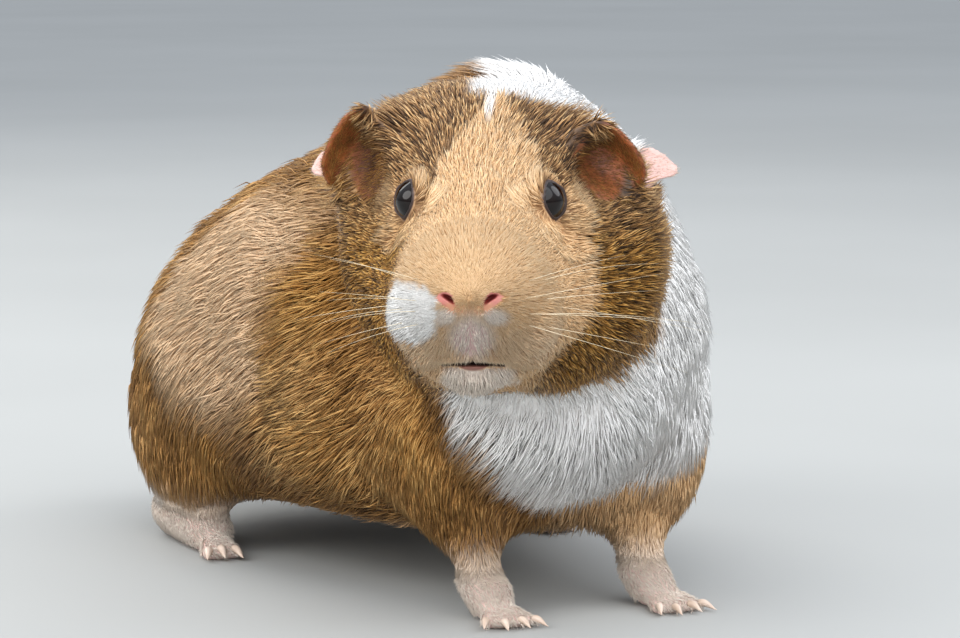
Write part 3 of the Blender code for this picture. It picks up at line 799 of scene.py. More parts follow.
def markings(points, head_share, ear_share):
    """How buff, white and golden the coat is at each point; the rest of it is agouti."""
    mm, head_mm = points / MM, in_head(points)
    x, y, z = head_mm.T
    ragged = cloud(mm, 4, 1) * 0.9 + cloud(mm, 1.6, 2) * 0.6
    rough = cloud(mm, 14, 3) * 3.5 + cloud(mm, 5, 4) * 1.8
    middle, wide, high, power = CHEEK
    cheek = rounded(x / wide, (z - middle) / high, power) + ragged * 0.012
    off_cheek = np.maximum(step(cheek, 0.985, 1.035), step(y + rough * 0.5, 36, 42))
    behind_crown = y - 21 - 0.3 * np.maximum(x, 0)
    off_crown = step(behind_crown + rough * 0.4, -1.5, 2) * step(z, 2, 9)
    nape = np.maximum(off_cheek * step(y + rough * 0.4, 14, 19), off_crown)
    nape *= step(x + rough * 0.3, -6, -2)
    beyond_head = np.maximum.reduce([off_cheek, step(-z, 44, 47), off_crown])
    on_head = np.column_stack(head_markings(mm, head_mm, ragged, cheek, nape))
    on_body = np.column_stack(body_markings(mm, head_mm, rough, beyond_head))
    marks = blend(on_body, on_head, head_share[:, None])
    marks = np.maximum(marks, fall(mm[:, 2], 6, 18)[:, None] * PAW_MARKS) * (1 - ear_share)[:, None]
    lobe = ear_share * step(y, *LOBE_AT)
    return np.clip(marks + np.column_stack((0.5 * lobe, 0.4 * lobe, 0.8 * (ear_share - lobe))), 0, 1)


def tone(points, head_share):
    """Slow changes of the agouti: darker on the left cheek, paler on the right of head and shoulder."""
    mm, head_mm = points / MM, in_head(points)
    x, y, z = head_mm.T
    changes = cloud(mm, 13, 31) * 0.6 + cloud(mm, 3, 32) * 0.4
    on_head = 0.15 * step(-x, 8, 16) - 0.8 * (step(x, 20, 30) * step(-z, -4, 8))
    on_head -= spot(head_mm, "beside ears, both")
    on_body = 0.9 * on_shoulder(mm) - 0.6 * (step(z, 6, 14) * fall(y, 40, 60))
    return changes + head_share * on_head + (1 - head_share) * on_body


# ---- coat
class SkinMap:
    """Everything the coat needs to know about the skin at its points."""

    def __init__(self, skin, regions):
        self.points, self.triangles = mesh_arrays(skin.data)
        self.edges = mesh_edges(skin.data)
        self.normals = vertex_normals(self.points, self.triangles)
        self.kinds = regions.kinds_at(self.points)
        head_mm = in_head(self.points)
        covered = self.ear_tops(head_mm)
        hollow = np.minimum(1.4 * spot(head_mm, "ear hollow, both"), 1)
        self.drape = covered * self.share(("ear",), 3)
        self.ear = step(np.maximum(self.share(("ear",), 3), hollow), 0.2, 0.55) * (1 - covered)
        draped = covered * self.share(("ear",) + HEAD_KINDS, 3)
        self.head = np.maximum(self.share(HEAD_KINDS, 10) * (1 - self.ear), draped)
        self.foot = self.share(FEET, 4)
        self.leg = self.share(("foreleg", "hindleg"), 12)
        size = relaxed(np.array([BODY_HAIR[kind] for kind in self.kinds]), self.edges, 12)
        self.size = blend(size, np.array(BODY_HAIR["ear"]), self.ear[:, None])

    @staticmethod
    def ear_tops(head_mm):
        """1 on the upper rims of the ears, which the crown's hair covers."""
        x, y, z = head_mm.T
        return step(z, 11.5, 14) * fall(y, 20, 24) * fall(np.abs(x), 25, 28.5)

    def share(self, kinds, rounds):
        """1 on these kinds of nodes and 0 off them, with a soft border."""
        return relaxed(np.isin(self.kinds, kinds).astype(float)[:, None], self.edges, rounds)[:, 0]


def nose_strip(head_mm):
    """1 on the nearly bare strip under the nostrils."""
    return band(head_mm[:, 2], -20.6, -18, 0.6) * fall(np.abs(head_mm[:, 0]), 4, 6)


def lower_lip(head_mm):
    """1 on the bare lower lip, a lens under the mouth's slit."""
    across, above = over_mouth(head_mm)
    lens = step(above + LIP_HEIGHT * (1 - (across / LIP_HALF) ** 2), -0.3, 0.5) * fall(above, -0.5, 0)
    return lens * (np.abs(across) < 5) * on_muzzle_front(head_mm)


def bare_places(points, normals):
    """1 where no hair grows: in and round the eyes, round the nostrils, on the lips and soles."""
    head_mm = in_head(points)
    front = on_muzzle_front(head_mm)
    across, above = over_mouth(head_mm)
    slit = band(above, -0.6, 0.9, 0.15) * (np.abs(across) < MOUTH_HALF)
    bare = front * np.maximum.reduce([slit, lower_lip(head_mm), 0.7 * nose_strip(head_mm)])
    bare = np.maximum(bare, 0.78 * spot(head_mm, "upper lip"))
    for side, sign in SIDES.items():
        _, along, raised, reach = eye_measures(head_mm, side)
        rim = rim_reach(along, raised)
        nostril = front * fall(nostril_rim(head_mm, sign), 0.75, 1)
        bare = np.maximum.reduce([bare, fall(reach, rim - 0.02, rim + 0.1), nostril])
    return np.maximum(bare, (points[:, 2] < 1.5 * MM) & (normals[:, 2] < -0.3))


def hair_size(points, size, head):
    """Length and width of the hair at points."""
    head_mm = in_head(points)
    away = from_nose(head_mm)
    on_face = np.column_stack([profile(away, FACE_HAIR, column) for column in (1, 2)])
    on_face[:, 0] *= 1 + 0.4 * (step(-head_mm[:, 2], 18, 38) * step(away, 20, 40))
    on_face[:, 0] *= 1 - 0.6 * band(over_mouth(head_mm)[1], -0.5, 2, 0.6) * on_muzzle_front(head_mm)
    for share, centre, half_axes in LONGER_HAIR:
        on_face[:, 0] *= 1 + share * blob(mirrored(head_mm), centre, half_axes)
    short = np.minimum(size, BODY_HAIR["forefoot"])
    size = blend(short, size, step(points[:, 2] / MM, *LOW_HAIR)[:, None])
    return blend(size, on_face, head[:, None])


def face_flow(head_mm):
    """The way the hair runs on the head: from the nose outwards, down the lips, and round the eyes."""
    x, _, z = head_mm.T
    away = unit(head_mm - np.array(NOSE_TIP) * np.array((0, 1, 1)))
    away[:, 2] -= 0.45 * step(-z, 12, 40) * step(np.abs(x), 6, 20)
    away[:, 1] += 0.35 * step(z, -5, 15)
    away[:, 0] += np.sign(x) * step(np.abs(x), 4, 16) * step(z, 4, 18)
    down = np.column_stack((np.sign(x) * 0.25, 0 * x, -1 + 0 * x))
    away = blend(away, down, spot(head_mm, "lips")[:, None])
    for side in SIDES:
        _, along, raised, reach = eye_measures(head_mm, side)
        axes = eye_axes(side)
        radial = unit(along[:, None] * axes[1] + raised[:, None] * axes[2])
        near = fall(reach, 1.4, 3)
        away -= (np.minimum(dot(away, radial), 0) * near)[:, None] * radial * 1.1
        away += (near * 0.35)[:, None] * radial
    return turned_from_head(away)


def body_flow(mm, leg, foot):
    """The way the hair runs on the body: backwards and down its sides, down the legs, along the toes."""
    front, rear = step(-mm[:, 1], 35, 62), step(mm[:, 1], 88, 122)
    side_drop = step(np.abs(mm[:, 0]), 12, 50)
    across = 0.25 * np.sign(mm[:, 0]) * (1 - side_drop) * 0.6
    back, up = 1 - 0.35 * front - 0.8 * rear, -0.6 * side_drop - 0.75 * front - 0.8 * rear
    flow = np.column_stack((across, back, up))
    flow = blend(flow, np.array((0, 0.25, -0.9)), leg[:, None])
    return blend(flow, np.array((0, -1, -0.35)), foot[:, None])


def hair_flow(points, normals, fields):
    """The way the hair lies at points: a unit direction along the skin."""
    mm, head_mm = points / MM, in_head(points)
    x = head_mm[:, 0]
    flow = body_flow(mm, fields["leg"], fields["foot"])
    flow = blend(flow, face_flow(head_mm), fields["head"][:, None])
    outward_ear = turned_from_head(unit(np.column_stack((np.sign(x), 0.35 + 0 * x, -0.3 + 0 * x))))
    flow = blend(flow, outward_ear, np.maximum(fields["ear"], fields["drape"])[:, None])
    flow = unit(flow - dot(flow, normals)[:, None] * normals)
    swirl = np.radians(16) * cloud(mm, 11, 11) + np.radians(9) * cloud(mm, 4, 12)
    swirl *= 0.35 + 0.65 * step(from_nose(head_mm), 12, 50)
    return unit(turned(flow, np.cross(normals, flow), swirl))


def scattered(skin_map):
    """Roots of the tufts: even over the skin, closer where the hair is small."""
    points, triangles = skin_map.points, skin_map.triangles
    a, b, c = (points[triangles[:, i]] for i in range(3))
    area = length_of(np.cross(b - a, c - a)) / 2 / MM ** 2
    centres = (a + b + c) / 3

    def at_faces(values):
        return values[triangles].mean(axis=1)

    normals = unit(at_faces(skin_map.normals))
    head, ear, foot = at_faces(skin_map.head), at_faces(skin_map.ear), at_faces(skin_map.foot)
    size = hair_size(centres, at_faces(skin_map.size), head)
    below = step(-normals[:, 2], 0.45, 0.85)
    lobe = step(in_head(centres)[:, 1], *LOBE_AT)
    cover = COVER["body"] * (1 - head) * (1 - 0.6 * below) + COVER["head"] * head
    cover = cover * (1 - ear) + COVER["ear"] * ear * (1 - 0.6 * lobe)
    cover = blend(cover, COVER["foot"], foot) * (1 - 0.35 * fall(centres[:, 2] / MM, *LOW_HAIR))
    density = cover * (1 - bare_places(centres, normals)) / (0.5 * size[:, 0] * size[:, 1])
    cells = np.floor(centres / (ROOT_CELL * MM)).astype(np.int64)
    order = np.lexsort((cells[:, 0], cells[:, 1], cells[:, 2]))
    total = np.cumsum((area * density)[order])
    count = int(total[-1])
    draw = rng(ROOT_SEED)
    picks = order[np.searchsorted(total, (np.arange(count) + draw.random(count)) * total[-1] / count)]
    one, two = draw.random(count), draw.random(count)
    flip = one + two > 1
    one, two = np.where(flip, 1 - one, one), np.where(flip, 1 - two, two)
    return picks, np.column_stack((1 - one - two, one, two))


def drawn_to_locks(roots, tips, share):
    """Tips drawn towards the tip of the nearest of a few chosen tufts, so that hair lies in locks."""
    chosen = rng(LOCK_SEED).choice(len(roots), max(len(roots) // LOCK_OF, 1), replace=False)
    tree = KDTree(len(chosen))
    for place, index in enumerate(chosen):
        tree.insert(roots[index], place)
    tree.balance()
    nearest = np.array([chosen[tree.find(root)[1]] for root in roots.tolist()])
    return tips + (tips[nearest] - tips) * share[:, None]


class Unwrap:
    """A low copy of part of the skin, unwrapped, that gives each root its place on the map."""

    def __init__(self, skin_map, chosen):
        corners = skin_map.triangles[chosen]
        used, index = np.unique(corners, return_inverse=True)
        mesh = new_mesh("unwrap", skin_map.points[used], index.ravel(), np.full(len(corners), 3))
        thing = new_object("unwrap", mesh)
        if len(corners) > UNWRAP_FROM:
            modify(thing, "DECIMATE", ratio=UNWRAP_TO / len(corners))
        for other in bpy.context.selected_objects:
            other.select_set(False)
        thing.select_set(True)
        bpy.context.view_layer.objects.active = thing
        bpy.ops.object.mode_set(mode="EDIT")
        bpy.ops.mesh.select_all(action="SELECT")
        bpy.ops.uv.smart_project(angle_limit=math.radians(UNWRAP_ANGLE), island_margin=UNWRAP_MARGIN)
        bpy.ops.object.mode_set(mode="OBJECT")
        mesh = thing.data
        self.points, self.triangles = mesh_arrays(mesh)
        places = read(mesh.uv_layers.active.data, "uv", 2)
        self.places = places[read(mesh.loop_triangles, "loops", 3, np.int64)]
        self.tree = tree_of(self.points, self.triangles)
        bpy.data.objects.remove(thing)

    def at(self, roots):
        found = [self.tree.find_nearest(root) for root in roots.tolist()]
        faces, spots = np.array([hit[2] for hit in found]), np.array([hit[0] for hit in found])
        a, b, c = (self.points[self.triangles[faces, i]] for i in range(3))
        whole = np.cross(b - a, c - a)
        square = np.maximum(dot(whole, whole), 1e-20)
        second = dot(np.cross(spots - a, c - a), whole) / square
        third = dot(np.cross(b - a, spots - a), whole) / square
        shares = np.clip(np.column_stack((1 - second - third, second, third)), 0, 1)
        return np.sum(self.places[faces] * shares[:, :, None], axis=1)


def tuft_piece(name, tufts, bent, places):
    """One mesh of closed, tapering tufts; bent ones have a knee halfway."""
    base, knee, rise = tufts["base"], tufts["knee"], tufts["rise"]
    half = tufts["width"][:, None] / 2
    aside = tufts["aside"] * half
    ring = [base + aside, base - aside, base + rise * half * 1.3]
    if bent:
        ring += [knee + aside * 0.8, knee - aside * 0.8, knee + rise * half]
    ring.append(tufts["tip"])
    faces, patch = (BENT_FACES, BENT_PATCH) if bent else (STRAIGHT_FACES, STRAIGHT_PATCH)
    count, each = len(base), len(ring)
    points = np.stack(ring, axis=1).reshape(-1, 3)
    points[:, 2] = np.maximum(points[:, 2], 0)
    corners = (np.arange(count)[:, None] * each + np.concatenate(faces)[None, :]).ravel()
    mesh = new_mesh(name, points, corners, np.tile([len(face) for face in faces], count))
    contrast, chance, shade = (np.repeat(tufts[key], each) for key in ("contrast", "chance", "shade"))
    grow = EVEN_TONE + (np.tile([place[1] for place in patch], count) - EVEN_TONE) * contrast
    attribute(mesh, "marks", np.repeat(tufts["marks"], each, axis=0))
    attribute(mesh, "hair", grow, chance, shade)
    spread = (np.array(patch) - np.array((0, 0.5))) * PATCH
    map_points = (places[:, None, :] + spread[None, :, :]).reshape(-1, 2)
    write(mesh.uv_layers.new(name="OFBake").data, "uv", map_points[corners])
    piece = new_object(name, mesh)
    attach(piece, "root")
    return piece


def coat_tufts(skin_map):
    """Every tuft's root, knee, tip, width and markings."""
    picks, weights = scattered(skin_map)
    count = len(picks)

    def at_roots(name):
        corners = getattr(skin_map, name)[skin_map.triangles[picks]]
        return np.sum(corners * (weights[:, :, None] if corners.ndim == 3 else weights), axis=1)

    draw = rng(TUFT_SEED)
    roots, normals = at_roots("points"), unit(at_roots("normals"))
    fields = {key: at_roots(key) for key in ("head", "ear", "foot", "leg", "drape")}
    head, drape = fields["head"], fields["drape"]
    size = hair_size(roots, at_roots("size"), head)
    size[:, 0] *= 1 - 0.45 * drape
    mm = roots / MM
    length = size[:, 0] * (0.8 + 0.4 * draw.random(count)) * (1 + 0.12 * cloud(mm, 9, 21)) * MM
    width = size[:, 1] * (0.8 + 0.4 * draw.random(count)) * MM
    flow = hair_flow(roots, normals, fields)
    flow = unit(turned(flow, np.cross(normals, flow), draw.normal(0, CHANCE_TURN, count)))
    sides = mirrored(in_head(roots))
    out = sum(share * blob(sides, centre, half_axes) for share, centre, half_axes in LIFTED_HAIR)
    out = np.clip(out, 0, 1) * (1 - 0.8 * drape)
    lift = LIFT + SHORT_LIFT * fall(size[:, 0], 2, 7) + CLOUD_LIFT * cloud(mm, 7, 22)
    lift = lift + OUT_LIFT * out * draw.random(count)
    lift = np.radians((lift + CHANCE_LIFT * draw.normal(0, 1, count)) * (1 - 0.6 * drape))
    lift = np.clip(lift, LEAST_LIFT, MOST_LIFT)
    first, last = turned(flow, normals, lift), turned(flow, normals, lift * (0.15 + 0.75 * out))
    base = roots - normals * (HAIR_SINK * MM * np.clip(size[:, 0] / 8, 0.2, 1))[:, None]
    knee = base + first * length[:, None] * 0.5
    bent = size[:, 0] > BENT_FROM
    tip = np.where(bent[:, None], knee + last * length[:, None] * 0.5, base + first * length[:, None])
    tip = drawn_to_locks(roots, tip, 0.1 + 0.12 * (1 - head) * (1 - fields["ear"]))
    contrast = 0.45 + 0.55 * head
    chance = 0.5 + (draw.random(count) - 0.5) * contrast
    marks = markings(roots + (tip - base) * MARKED_AT, head, fields["ear"])
    return {
        "roots": roots, "base": base, "knee": knee, "tip": tip, "aside": np.cross(flow, normals),
        "rise": normals, "width": width, "chance": chance, "shade": tone(roots, head), "marks": marks,
        "contrast": contrast,
    }, picks, bent


def coat_regions(skin_map):
    """The name of the coat piece that each of the skin's triangles belongs to."""
    names = []
    centres = skin_map.points[skin_map.triangles].mean(axis=1)
    kinds = skin_map.kinds[skin_map.triangles[:, 0]]
    for kind, place, head_place in zip(kinds, centres[:, 0], in_head(centres)[:, 0]):
        side, head_side = ("left" if x > 0 else "right" for x in (place, head_place))
        if kind in ("neck", "chest"):
            names.append(f"coat_{kind}")
        elif kind in ("trunk", "rump"):
            names.append(f"coat_{kind}_{side}")
        else:
            on_head = kind == "ear" or kind in HEAD_KINDS
            names.append(f"coat_head_{head_side}" if on_head else f"coat_legs_{side}")
    return np.array(names)


def make_coat(skin_map, material):
    """The coat, one or more pieces for each region, each with its own unwrap of the skin below it."""
    tufts, picks, bent_ones = coat_tufts(skin_map)
    face_region = coat_regions(skin_map)
    for region in sorted(set(face_region)):
        unwrap = Unwrap(skin_map, np.nonzero(face_region == region)[0])
        for bent, kind, triangles in ((True, "locks", 10), (False, "hairs", 4)):
            chosen = np.nonzero((face_region[picks] == region) & (bent_ones == bent))[0]
            parts = max(1, math.ceil(len(chosen) * triangles / TUFT_LIMIT))
            for part in range(parts if len(chosen) else 0):
                own = {key: values[chosen[part::parts]] for key, values in tufts.items()}
                name = f"{region}_{kind}" + (f"_{part + 1}" if parts > 1 else "")
                piece = tuft_piece(name, own, bent, unwrap.at(own["roots"]))
                piece.data.materials.append(material)


# ---- materials
def linear(colour):
    """A colour of 0 to 255 screen values as the linear values that shaders use."""
    parts = [value / 255 for value in colour]
    return tuple(part / 12.92 if part < 0.04045 else ((part + 0.055) / 1.055) ** 2.4 for part in parts)


class Nodes:
    """A small helper that builds a material's node tree; a value is a number, a colour or an output."""

    def __init__(self, name):
        self.material = bpy.data.materials.new(name)
        self.material.use_nodes = True
        self.tree = self.material.node_tree
        self.shader = self.tree.nodes["Principled BSDF"]

    def add(self, kind, **settings):
        return given(self.tree.nodes.new(kind), **settings)

    def put(self, value, socket):
        """A value into a socket: linked if it is an output."""
        if isinstance(value, (int, float)):
            socket.default_value = value
        elif isinstance(value, tuple):
            socket.default_value = (*linear(value), 1)
        else:
            self.tree.links.new(value, socket)

    def vector(self, name):
        """The three numbers of an attribute, each as an output."""
        source = self.add("ShaderNodeAttribute", attribute_name=name)
        split = self.add("ShaderNodeSeparateXYZ")
        self.put(source.outputs["Vector"], split.inputs[0])
        return split.outputs

    def math(self, operation, first, second):
        node = self.add("ShaderNodeMath", operation=operation)
        self.put(first, node.inputs[0])
        self.put(second, node.inputs[1])
        return node.outputs[0]

    def plus(self, first, second, times):
        """The first value plus so many times the second."""
        return self.math("ADD", first, self.math("MULTIPLY", second, times))

    def ramp(self, factor, stops):
        node = self.add("ShaderNodeValToRGB")
        elements = node.color_ramp.elements
        while len(elements) < len(stops):
            elements.new(0.5)
        for element, (place, colour) in zip(elements, stops):
            given(element, position=place, color=(*linear(colour), 1))
        self.put(factor, node.inputs[0])
        return node.outputs[0]

    def tones(self, factor, low, high):
        """From one tone to the other over the middle of a noise."""
        return self.ramp(factor, ((0.3, low), (0.7, high)))

    def mix(self, factor, first, second):
        node = self.add("ShaderNodeMix", data_type="RGBA")
        for index, value in ((0, factor), (6, first), (7, second)):
            self.put(value, node.inputs[index])
        return node.outputs[2]

    def noise(self, scale, detail=2, stretch=None):
        node = self.add("ShaderNodeTexNoise")
        node.inputs["Scale"].default_value = scale
        node.inputs["Detail"].default_value = detail
        source = self.add("ShaderNodeTexCoord").outputs["Object"]
        if stretch:
            mapping = self.add("ShaderNodeMapping")
            mapping.inputs["Scale"].default_value = stretch
            self.put(source, mapping.inputs[0])
            source = mapping.outputs[0]
        self.put(source, node.inputs["Vector"])
        return node.outputs[0]

    def finish(self, colour, roughness, bump=None, depth=None, specular=None):
        """The material; a bump has a depth in mm."""
        self.put(colour, self.shader.inputs["Base Color"])
        self.put(roughness, self.shader.inputs["Roughness"])
        if depth is not None:
            node = self.add("ShaderNodeBump")
            node.inputs["Distance"].default_value = depth * MM
            self.put(bump, node.inputs["Height"])
            self.put(node.outputs[0], self.shader.inputs["Normal"])
        if specular is not None:
            self.shader.inputs["Specular IOR Level"].default_value = specular
        return self.material


def coat_colour(nodes):
    """The coat's colour, and each hair's own chance: agouti is banded; buff and white hair darken
    towards the root, which is painted shade down among the hairs.
    """
    grow, chance, shade = nodes.vector("hair")
    marks = nodes.vector("marks")
    ticked = nodes.plus(grow, nodes.math("SUBTRACT", chance, 0.55), 0.75)
    ticked = nodes.plus(ticked, shade, 0.22)
    # Buff and white read this place along the hair; their darker roots are painted shade among the hairs
    paler = nodes.plus(grow, nodes.math("SUBTRACT", chance, 0.6), 0.5)
    gold = nodes.mix(marks[2], nodes.ramp(ticked, AGOUTI), nodes.ramp(ticked, GOLD))
    buff = nodes.mix(marks[0], gold, nodes.ramp(paler, BUFF))
    return nodes.mix(marks[1], buff, nodes.ramp(paler, WHITE)), chance


def coat_material():
    nodes = Nodes("coat")
    colour, chance = coat_colour(nodes)
    return nodes.finish(colour, nodes.plus(0.5, chance, 0.16), specular=COAT_SPECULAR)


def skin_material():
    nodes = Nodes("skin")
    colour, _ = coat_colour(nodes)
    mottle, streaks = nodes.noise(260, 3), nodes.noise(420)
    for name, layers in SKIN_LAYERS.items():
        for share, tones in zip(nodes.vector(name), layers):
            colour = nodes.mix(share, colour, nodes.tones(streaks if name == "ears" else mottle, *tones))
    fine = nodes.plus(nodes.noise(900), mottle, 0.6)
    return nodes.finish(colour, nodes.plus(0.48, mottle, 0.12), fine, SKIN_BUMP)


def plain_material(name):
    nodes = Nodes(name)
    scale, detail, stretch, low, high, roughness, depth, specular = PLAIN[name]
    noise = nodes.noise(scale, detail, stretch)
    return nodes.finish(nodes.tones(noise, low, high), roughness, noise, depth, specular)


def skin_attributes(mesh, skin_map):
    """Markings and bare places on the skin, by the same rules as on the coat."""
    points = skin_map.points
    mm, head_mm = points / MM, in_head(points)
    x, y, _ = head_mm.T
    attribute(mesh, "marks", markings(points, skin_map.head, skin_map.ear))
    chance = 0.5 + 0.5 * cloud(mm, 1.1, 33)
    # The skin takes the colour its hair has nearer the root, darker than the hair's mean: painted shade
    # under the coat
    attribute(mesh, "hair", np.full(len(points), 0.3), chance, tone(points, skin_map.head))
    front = on_muzzle_front(head_mm)
    pink, rim, edge, hollow = np.zeros((4, len(points)))
    for side, sign in SIDES.items():
        _, along, raised, reach = eye_measures(head_mm, side)
        reached = rim_reach(along, raised)
        rim = np.maximum(rim, fall(reach, reached, reached + 0.12))
        edge = np.maximum(edge, 1 - step(reach, 1.12, 1.24) * step(along, -2, 0.5))
        edge = np.where(reach > 1.3, np.minimum(edge, rim), edge)
        pink = np.maximum(pink, front * fall(nostril_rim(head_mm, sign), 0.7, 1.25))
        # Nostril hollows: their red lining darkened by painted shade in the holes
        hollow = np.maximum(hollow, front * fall(nostril_reach(head_mm, sign), 0.6, 1.35))
    attribute(mesh, "raw", rim, np.minimum(edge, rim), hollow)
    upper_lip = 0.8 * spot(head_mm, "upper lip")
    attribute(mesh, "nose", upper_lip, pink, 0.8 * nose_strip(head_mm) * front)
    lobe = step(y, *LOBE_AT)
    forward = -(skin_map.normals @ HEAD_AXES[1]) - step(y, 19, 23)
    inner = step(forward, -0.05, 0.3)
    # Near-black painted shade deep in each ear's hollow, half as strong on the left ear
    ear_hollow_shade = skin_map.ear * spot(head_mm, "ear depth, both") * step(forward, -0.3, 0.1)
    ear_hollow_shade *= np.where(x < 0, 1, 0.5)
    attribute(mesh, "ears", skin_map.ear * inner, skin_map.ear * (1 - inner), ear_hollow_shade)
    across, above = over_mouth(head_mm)
    # The slit between the lips, painted near-black: painted shade in the crease
    mouth = front * (np.abs(across) < MOUTH_HALF + 0.4) * fall(np.abs(above - 0.1), 0.45, 0.8)
    pale = np.maximum(skin_map.foot * fall(mm[:, 2], 6, 16), 0.5 * skin_map.ear * lobe)
    attribute(mesh, "mouth", lower_lip(head_mm), mouth, 0.85 * pale)


# ---- eyes, claws and whiskers
def make_eyeball(side, material):
    """A ball with a slightly raised cornea, turned outwards."""
    solid = bmesh.new()
    around, down = EYE_SEGMENTS
    bmesh.ops.create_uvsphere(solid, u_segments=around, v_segments=down, radius=EYE_RADIUS)
    for vertex in solid.verts:
        vertex.co.z += CORNEA_RISE * EYE_RADIUS * max(vertex.co.z / EYE_RADIUS, 0) ** 6
    mesh = from_bmesh(f"eyeball_{side}", solid)
    mesh.shade_smooth()
    outward = Vector(turned_from_head(eye_axes(side)[:1])[0])
    turn = outward.to_track_quat("Z", "Y").to_matrix().to_4x4()
    mesh.transform(Matrix.Translation(EYE_CENTRES[side]) @ turn)
    ball = new_object(f"eyeball_{side}", mesh)
    mesh.materials.append(material)
    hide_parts(f"eye_{side}")
    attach(ball, "root")


def tube(points, radii, sides):
    """Points and faces of a closed round tube along a line."""
    rings, faces = [], []
    for index, (point, radius) in enumerate(zip(points, radii)):
        after = points[min(index + 1, len(points) - 1)]
        before = points[max(index - 1, 0)]
        turn = (after - before).to_track_quat("Z", "Y")
        for corner in range(sides):
            angle = 2 * math.pi * corner / sides
            rings.append(point + turn @ Vector((radius * math.cos(angle), radius * math.sin(angle), 0)))
    for low in range(0, len(rings) - sides, sides):
        for corner in range(sides):
            beside = (corner + 1) % sides
            high = low + sides
            faces.append((low + corner, low + beside, high + beside, high + corner))
    faces += [tuple(reversed(range(sides))), tuple(range(len(rings) - sides, len(rings)))]
    return rings, faces


def joined_tubes(name, tubes, material):
    points, faces = [], []
    for ring_points, ring_faces in tubes:
        faces += [tuple(corner + len(points) for corner in face) for face in ring_faces]
        points += ring_points
    mesh = bpy.data.meshes.new(name)
    mesh.from_pydata(points, [], faces)
    mesh.shade_smooth()
    mesh.materials.append(material)
    piece = new_object(name, mesh)
    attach(piece, "root")


def make_claws(material):
    """A curved, tapering claw on every toe, its tip just off the floor."""
    for name, tip, ahead, length, thick in claws():
        tip, ahead = Vector(tip), Vector(ahead)
        line, radii = [], []
        for index in range(CLAW_STEPS + 1):
            t = index / CLAW_STEPS
            rise = CLAW_ARCH * length * (1 - t) ** 0.6 * math.sin(math.pi * (0.25 + 0.75 * t))
            point = tip - ahead * length * (1 - t) + UP * rise
            radii.append(max(thick * (1 - t ** 1.7), CLAW_POINT * MM))
            point.z = max(point.z, radii[-1] + CLAW_OFF_FLOOR * MM)
            line.append(point)
        joined_tubes(name, [tube(line, radii, CLAW_SIDES)], material)


def whisker(root, out, length, droop):
    """A tapering hair from the skin that bends back and down; it stays within the model's sides."""
    sweep = length * WHISKER_SWEEP
    reach = (out * length + BACK * sweep) * MM
    free = (WHISKERS_WITHIN - abs(root.x)) / max(abs(reach.x), 1e-6)
    share = min(1, free) if reach.x * root.x > 0 else 1
    line, radii = [], []
    for joint in range(WHISKER_STEPS + 1):
        t = joint / WHISKER_STEPS
        away = out * (length * t) + BACK * (sweep * t * t) - UP * (droop * t * t)
        line.append(root + away * (share * MM))
        radii.append(WHISKER_RADIUS * MM * (1 - 0.85 * t))
    return tube(line, radii, WHISKER_SIDES)


def make_whiskers(skin, material):
    """Long pale whiskers from rows on both pads, swept back."""
    tree = tree_of(*mesh_arrays(skin.data))
    draw = rng(WHISKER_SEED)
    for side, sign in SIDES.items():
        tubes = []
        for height, count in WHISKER_ROWS:
            for index in range(count):
                across = (PAD_INNER + PAD_STEP * index + draw.uniform(-0.8, 0.8)) * sign
                before_face = np.array([[across, -60, height + draw.uniform(-0.8, 0.8)]])
                root = tree.ray_cast(Vector(from_head(before_face)[0]), BACK)[0]
                length = draw.uniform(*WHISKER_LENGTH)
                up = 0.06 + (height + 18) * 0.06 + draw.uniform(-0.14, 0.14)
                out = Vector((sign, -0.25 + 0.2 * index + draw.uniform(-0.1, 0.1), up)).normalized()
                out = Vector(turned_from_head(np.array([out]))[0])
                tubes.append(whisker(root, out, length, length * draw.uniform(*WHISKER_DROOP)))
        joined_tubes(f"whiskers_{side}", tubes, material)


# ---- stage
def make_floor():
    solid = bmesh.new()
    bmesh.ops.create_circle(solid, cap_ends=True, segments=FLOOR_SEGMENTS, radius=FLOOR_RADIUS)
    mesh = from_bmesh("floor", solid)
    mesh.materials.append(plain_material("floor"))
    new_object("floor", mesh)


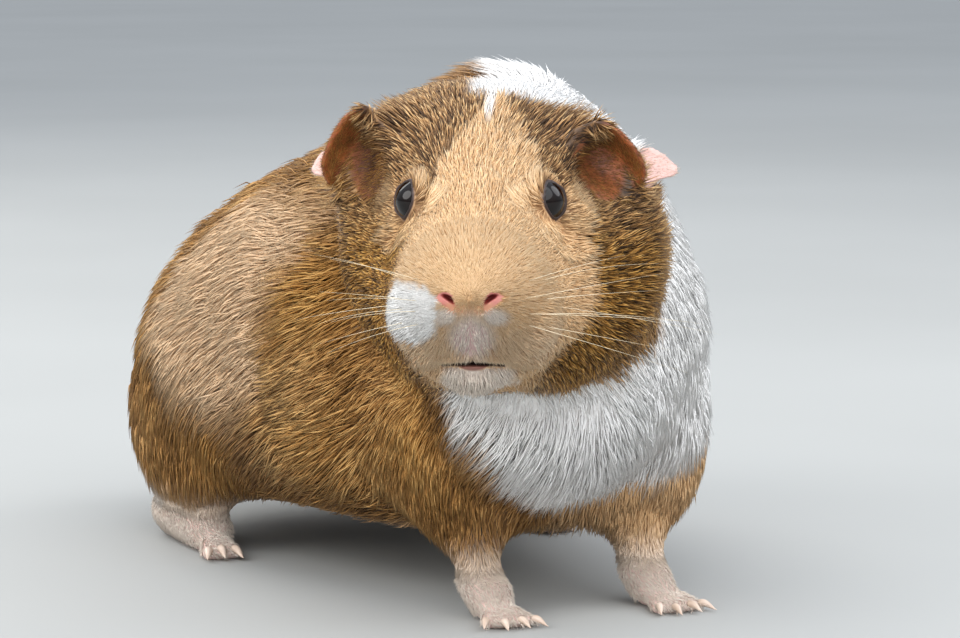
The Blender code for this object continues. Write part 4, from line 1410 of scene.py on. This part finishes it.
def make_light(name, location, size, power, colour):
    """A round lamp that shines on the face."""
    lamp = bpy.data.lights.new(name, "AREA")
    thing = new_object(name, given(lamp, shape="DISK", size=size, energy=power, color=colour))
    thing.location = location
    thing.rotation_euler = (BETWEEN_EYES - Vector(location)).to_track_quat("-Z", "Y").to_euler()


def make_stage():
    make_floor()
    world = bpy.data.worlds.new("studio")
    bpy.context.scene.world = world
    world.use_nodes = True
    tree = world.node_tree
    kinds = ("TexCoord", "SeparateXYZ", "ValToRGB")
    place, split, sky = (tree.nodes.new("ShaderNode" + kind) for kind in kinds)
    sky.color_ramp.elements.new(0.5)
    for element, (height, colour) in zip(sky.color_ramp.elements, SKY):
        given(element, position=height, color=(*colour, 1))
    tree.links.new(place.outputs["Generated"], split.inputs[0])
    tree.links.new(split.outputs["Z"], sky.inputs[0])
    tree.links.new(sky.outputs[0], tree.nodes["Background"].inputs["Color"])
    for name, settings in LIGHTS.items():
        make_light(name, *settings)


def make_camera():
    """The viewing angle: from in front of the animal's face, a little above it."""
    turn, pitch = math.radians(CAMERA_TURN), math.radians(CAMERA_PITCH)
    forward = (-math.sin(turn) * math.cos(pitch), math.cos(turn) * math.cos(pitch), -math.sin(pitch))
    forward = Vector(forward)
    right = forward.cross(UP).normalized()
    camera = given(bpy.data.cameras.new("camera"), lens=CAMERA_LENS, sensor_width=CAMERA_SENSOR)
    camera.clip_start, camera.clip_end = CAMERA_CLIP
    thing = new_object("camera", camera)
    thing.location = BETWEEN_EYES - forward * CAMERA_DISTANCE - right.cross(forward) * EYES_ABOVE_AXIS
    thing.rotation_mode = "QUATERNION"
    thing.rotation_quaternion = forward.to_track_quat("-Z", "Y")
    bpy.context.scene.camera = thing


def main():
    make_camera()
    make_stage()
    skin, regions = make_skin()
    skin_map = SkinMap(skin, regions)
    skin_attributes(skin.data, skin_map)
    skin.data.materials.append(skin_material())
    gloss = plain_material("eye")
    for side in SIDES:
        make_eyeball(side, gloss)
    make_claws(plain_material("claw"))
    make_whiskers(skin, plain_material("whisker"))
    make_coat(skin_map, coat_material())
    bpy.context.scene.view_settings.view_transform = "Standard"


main()
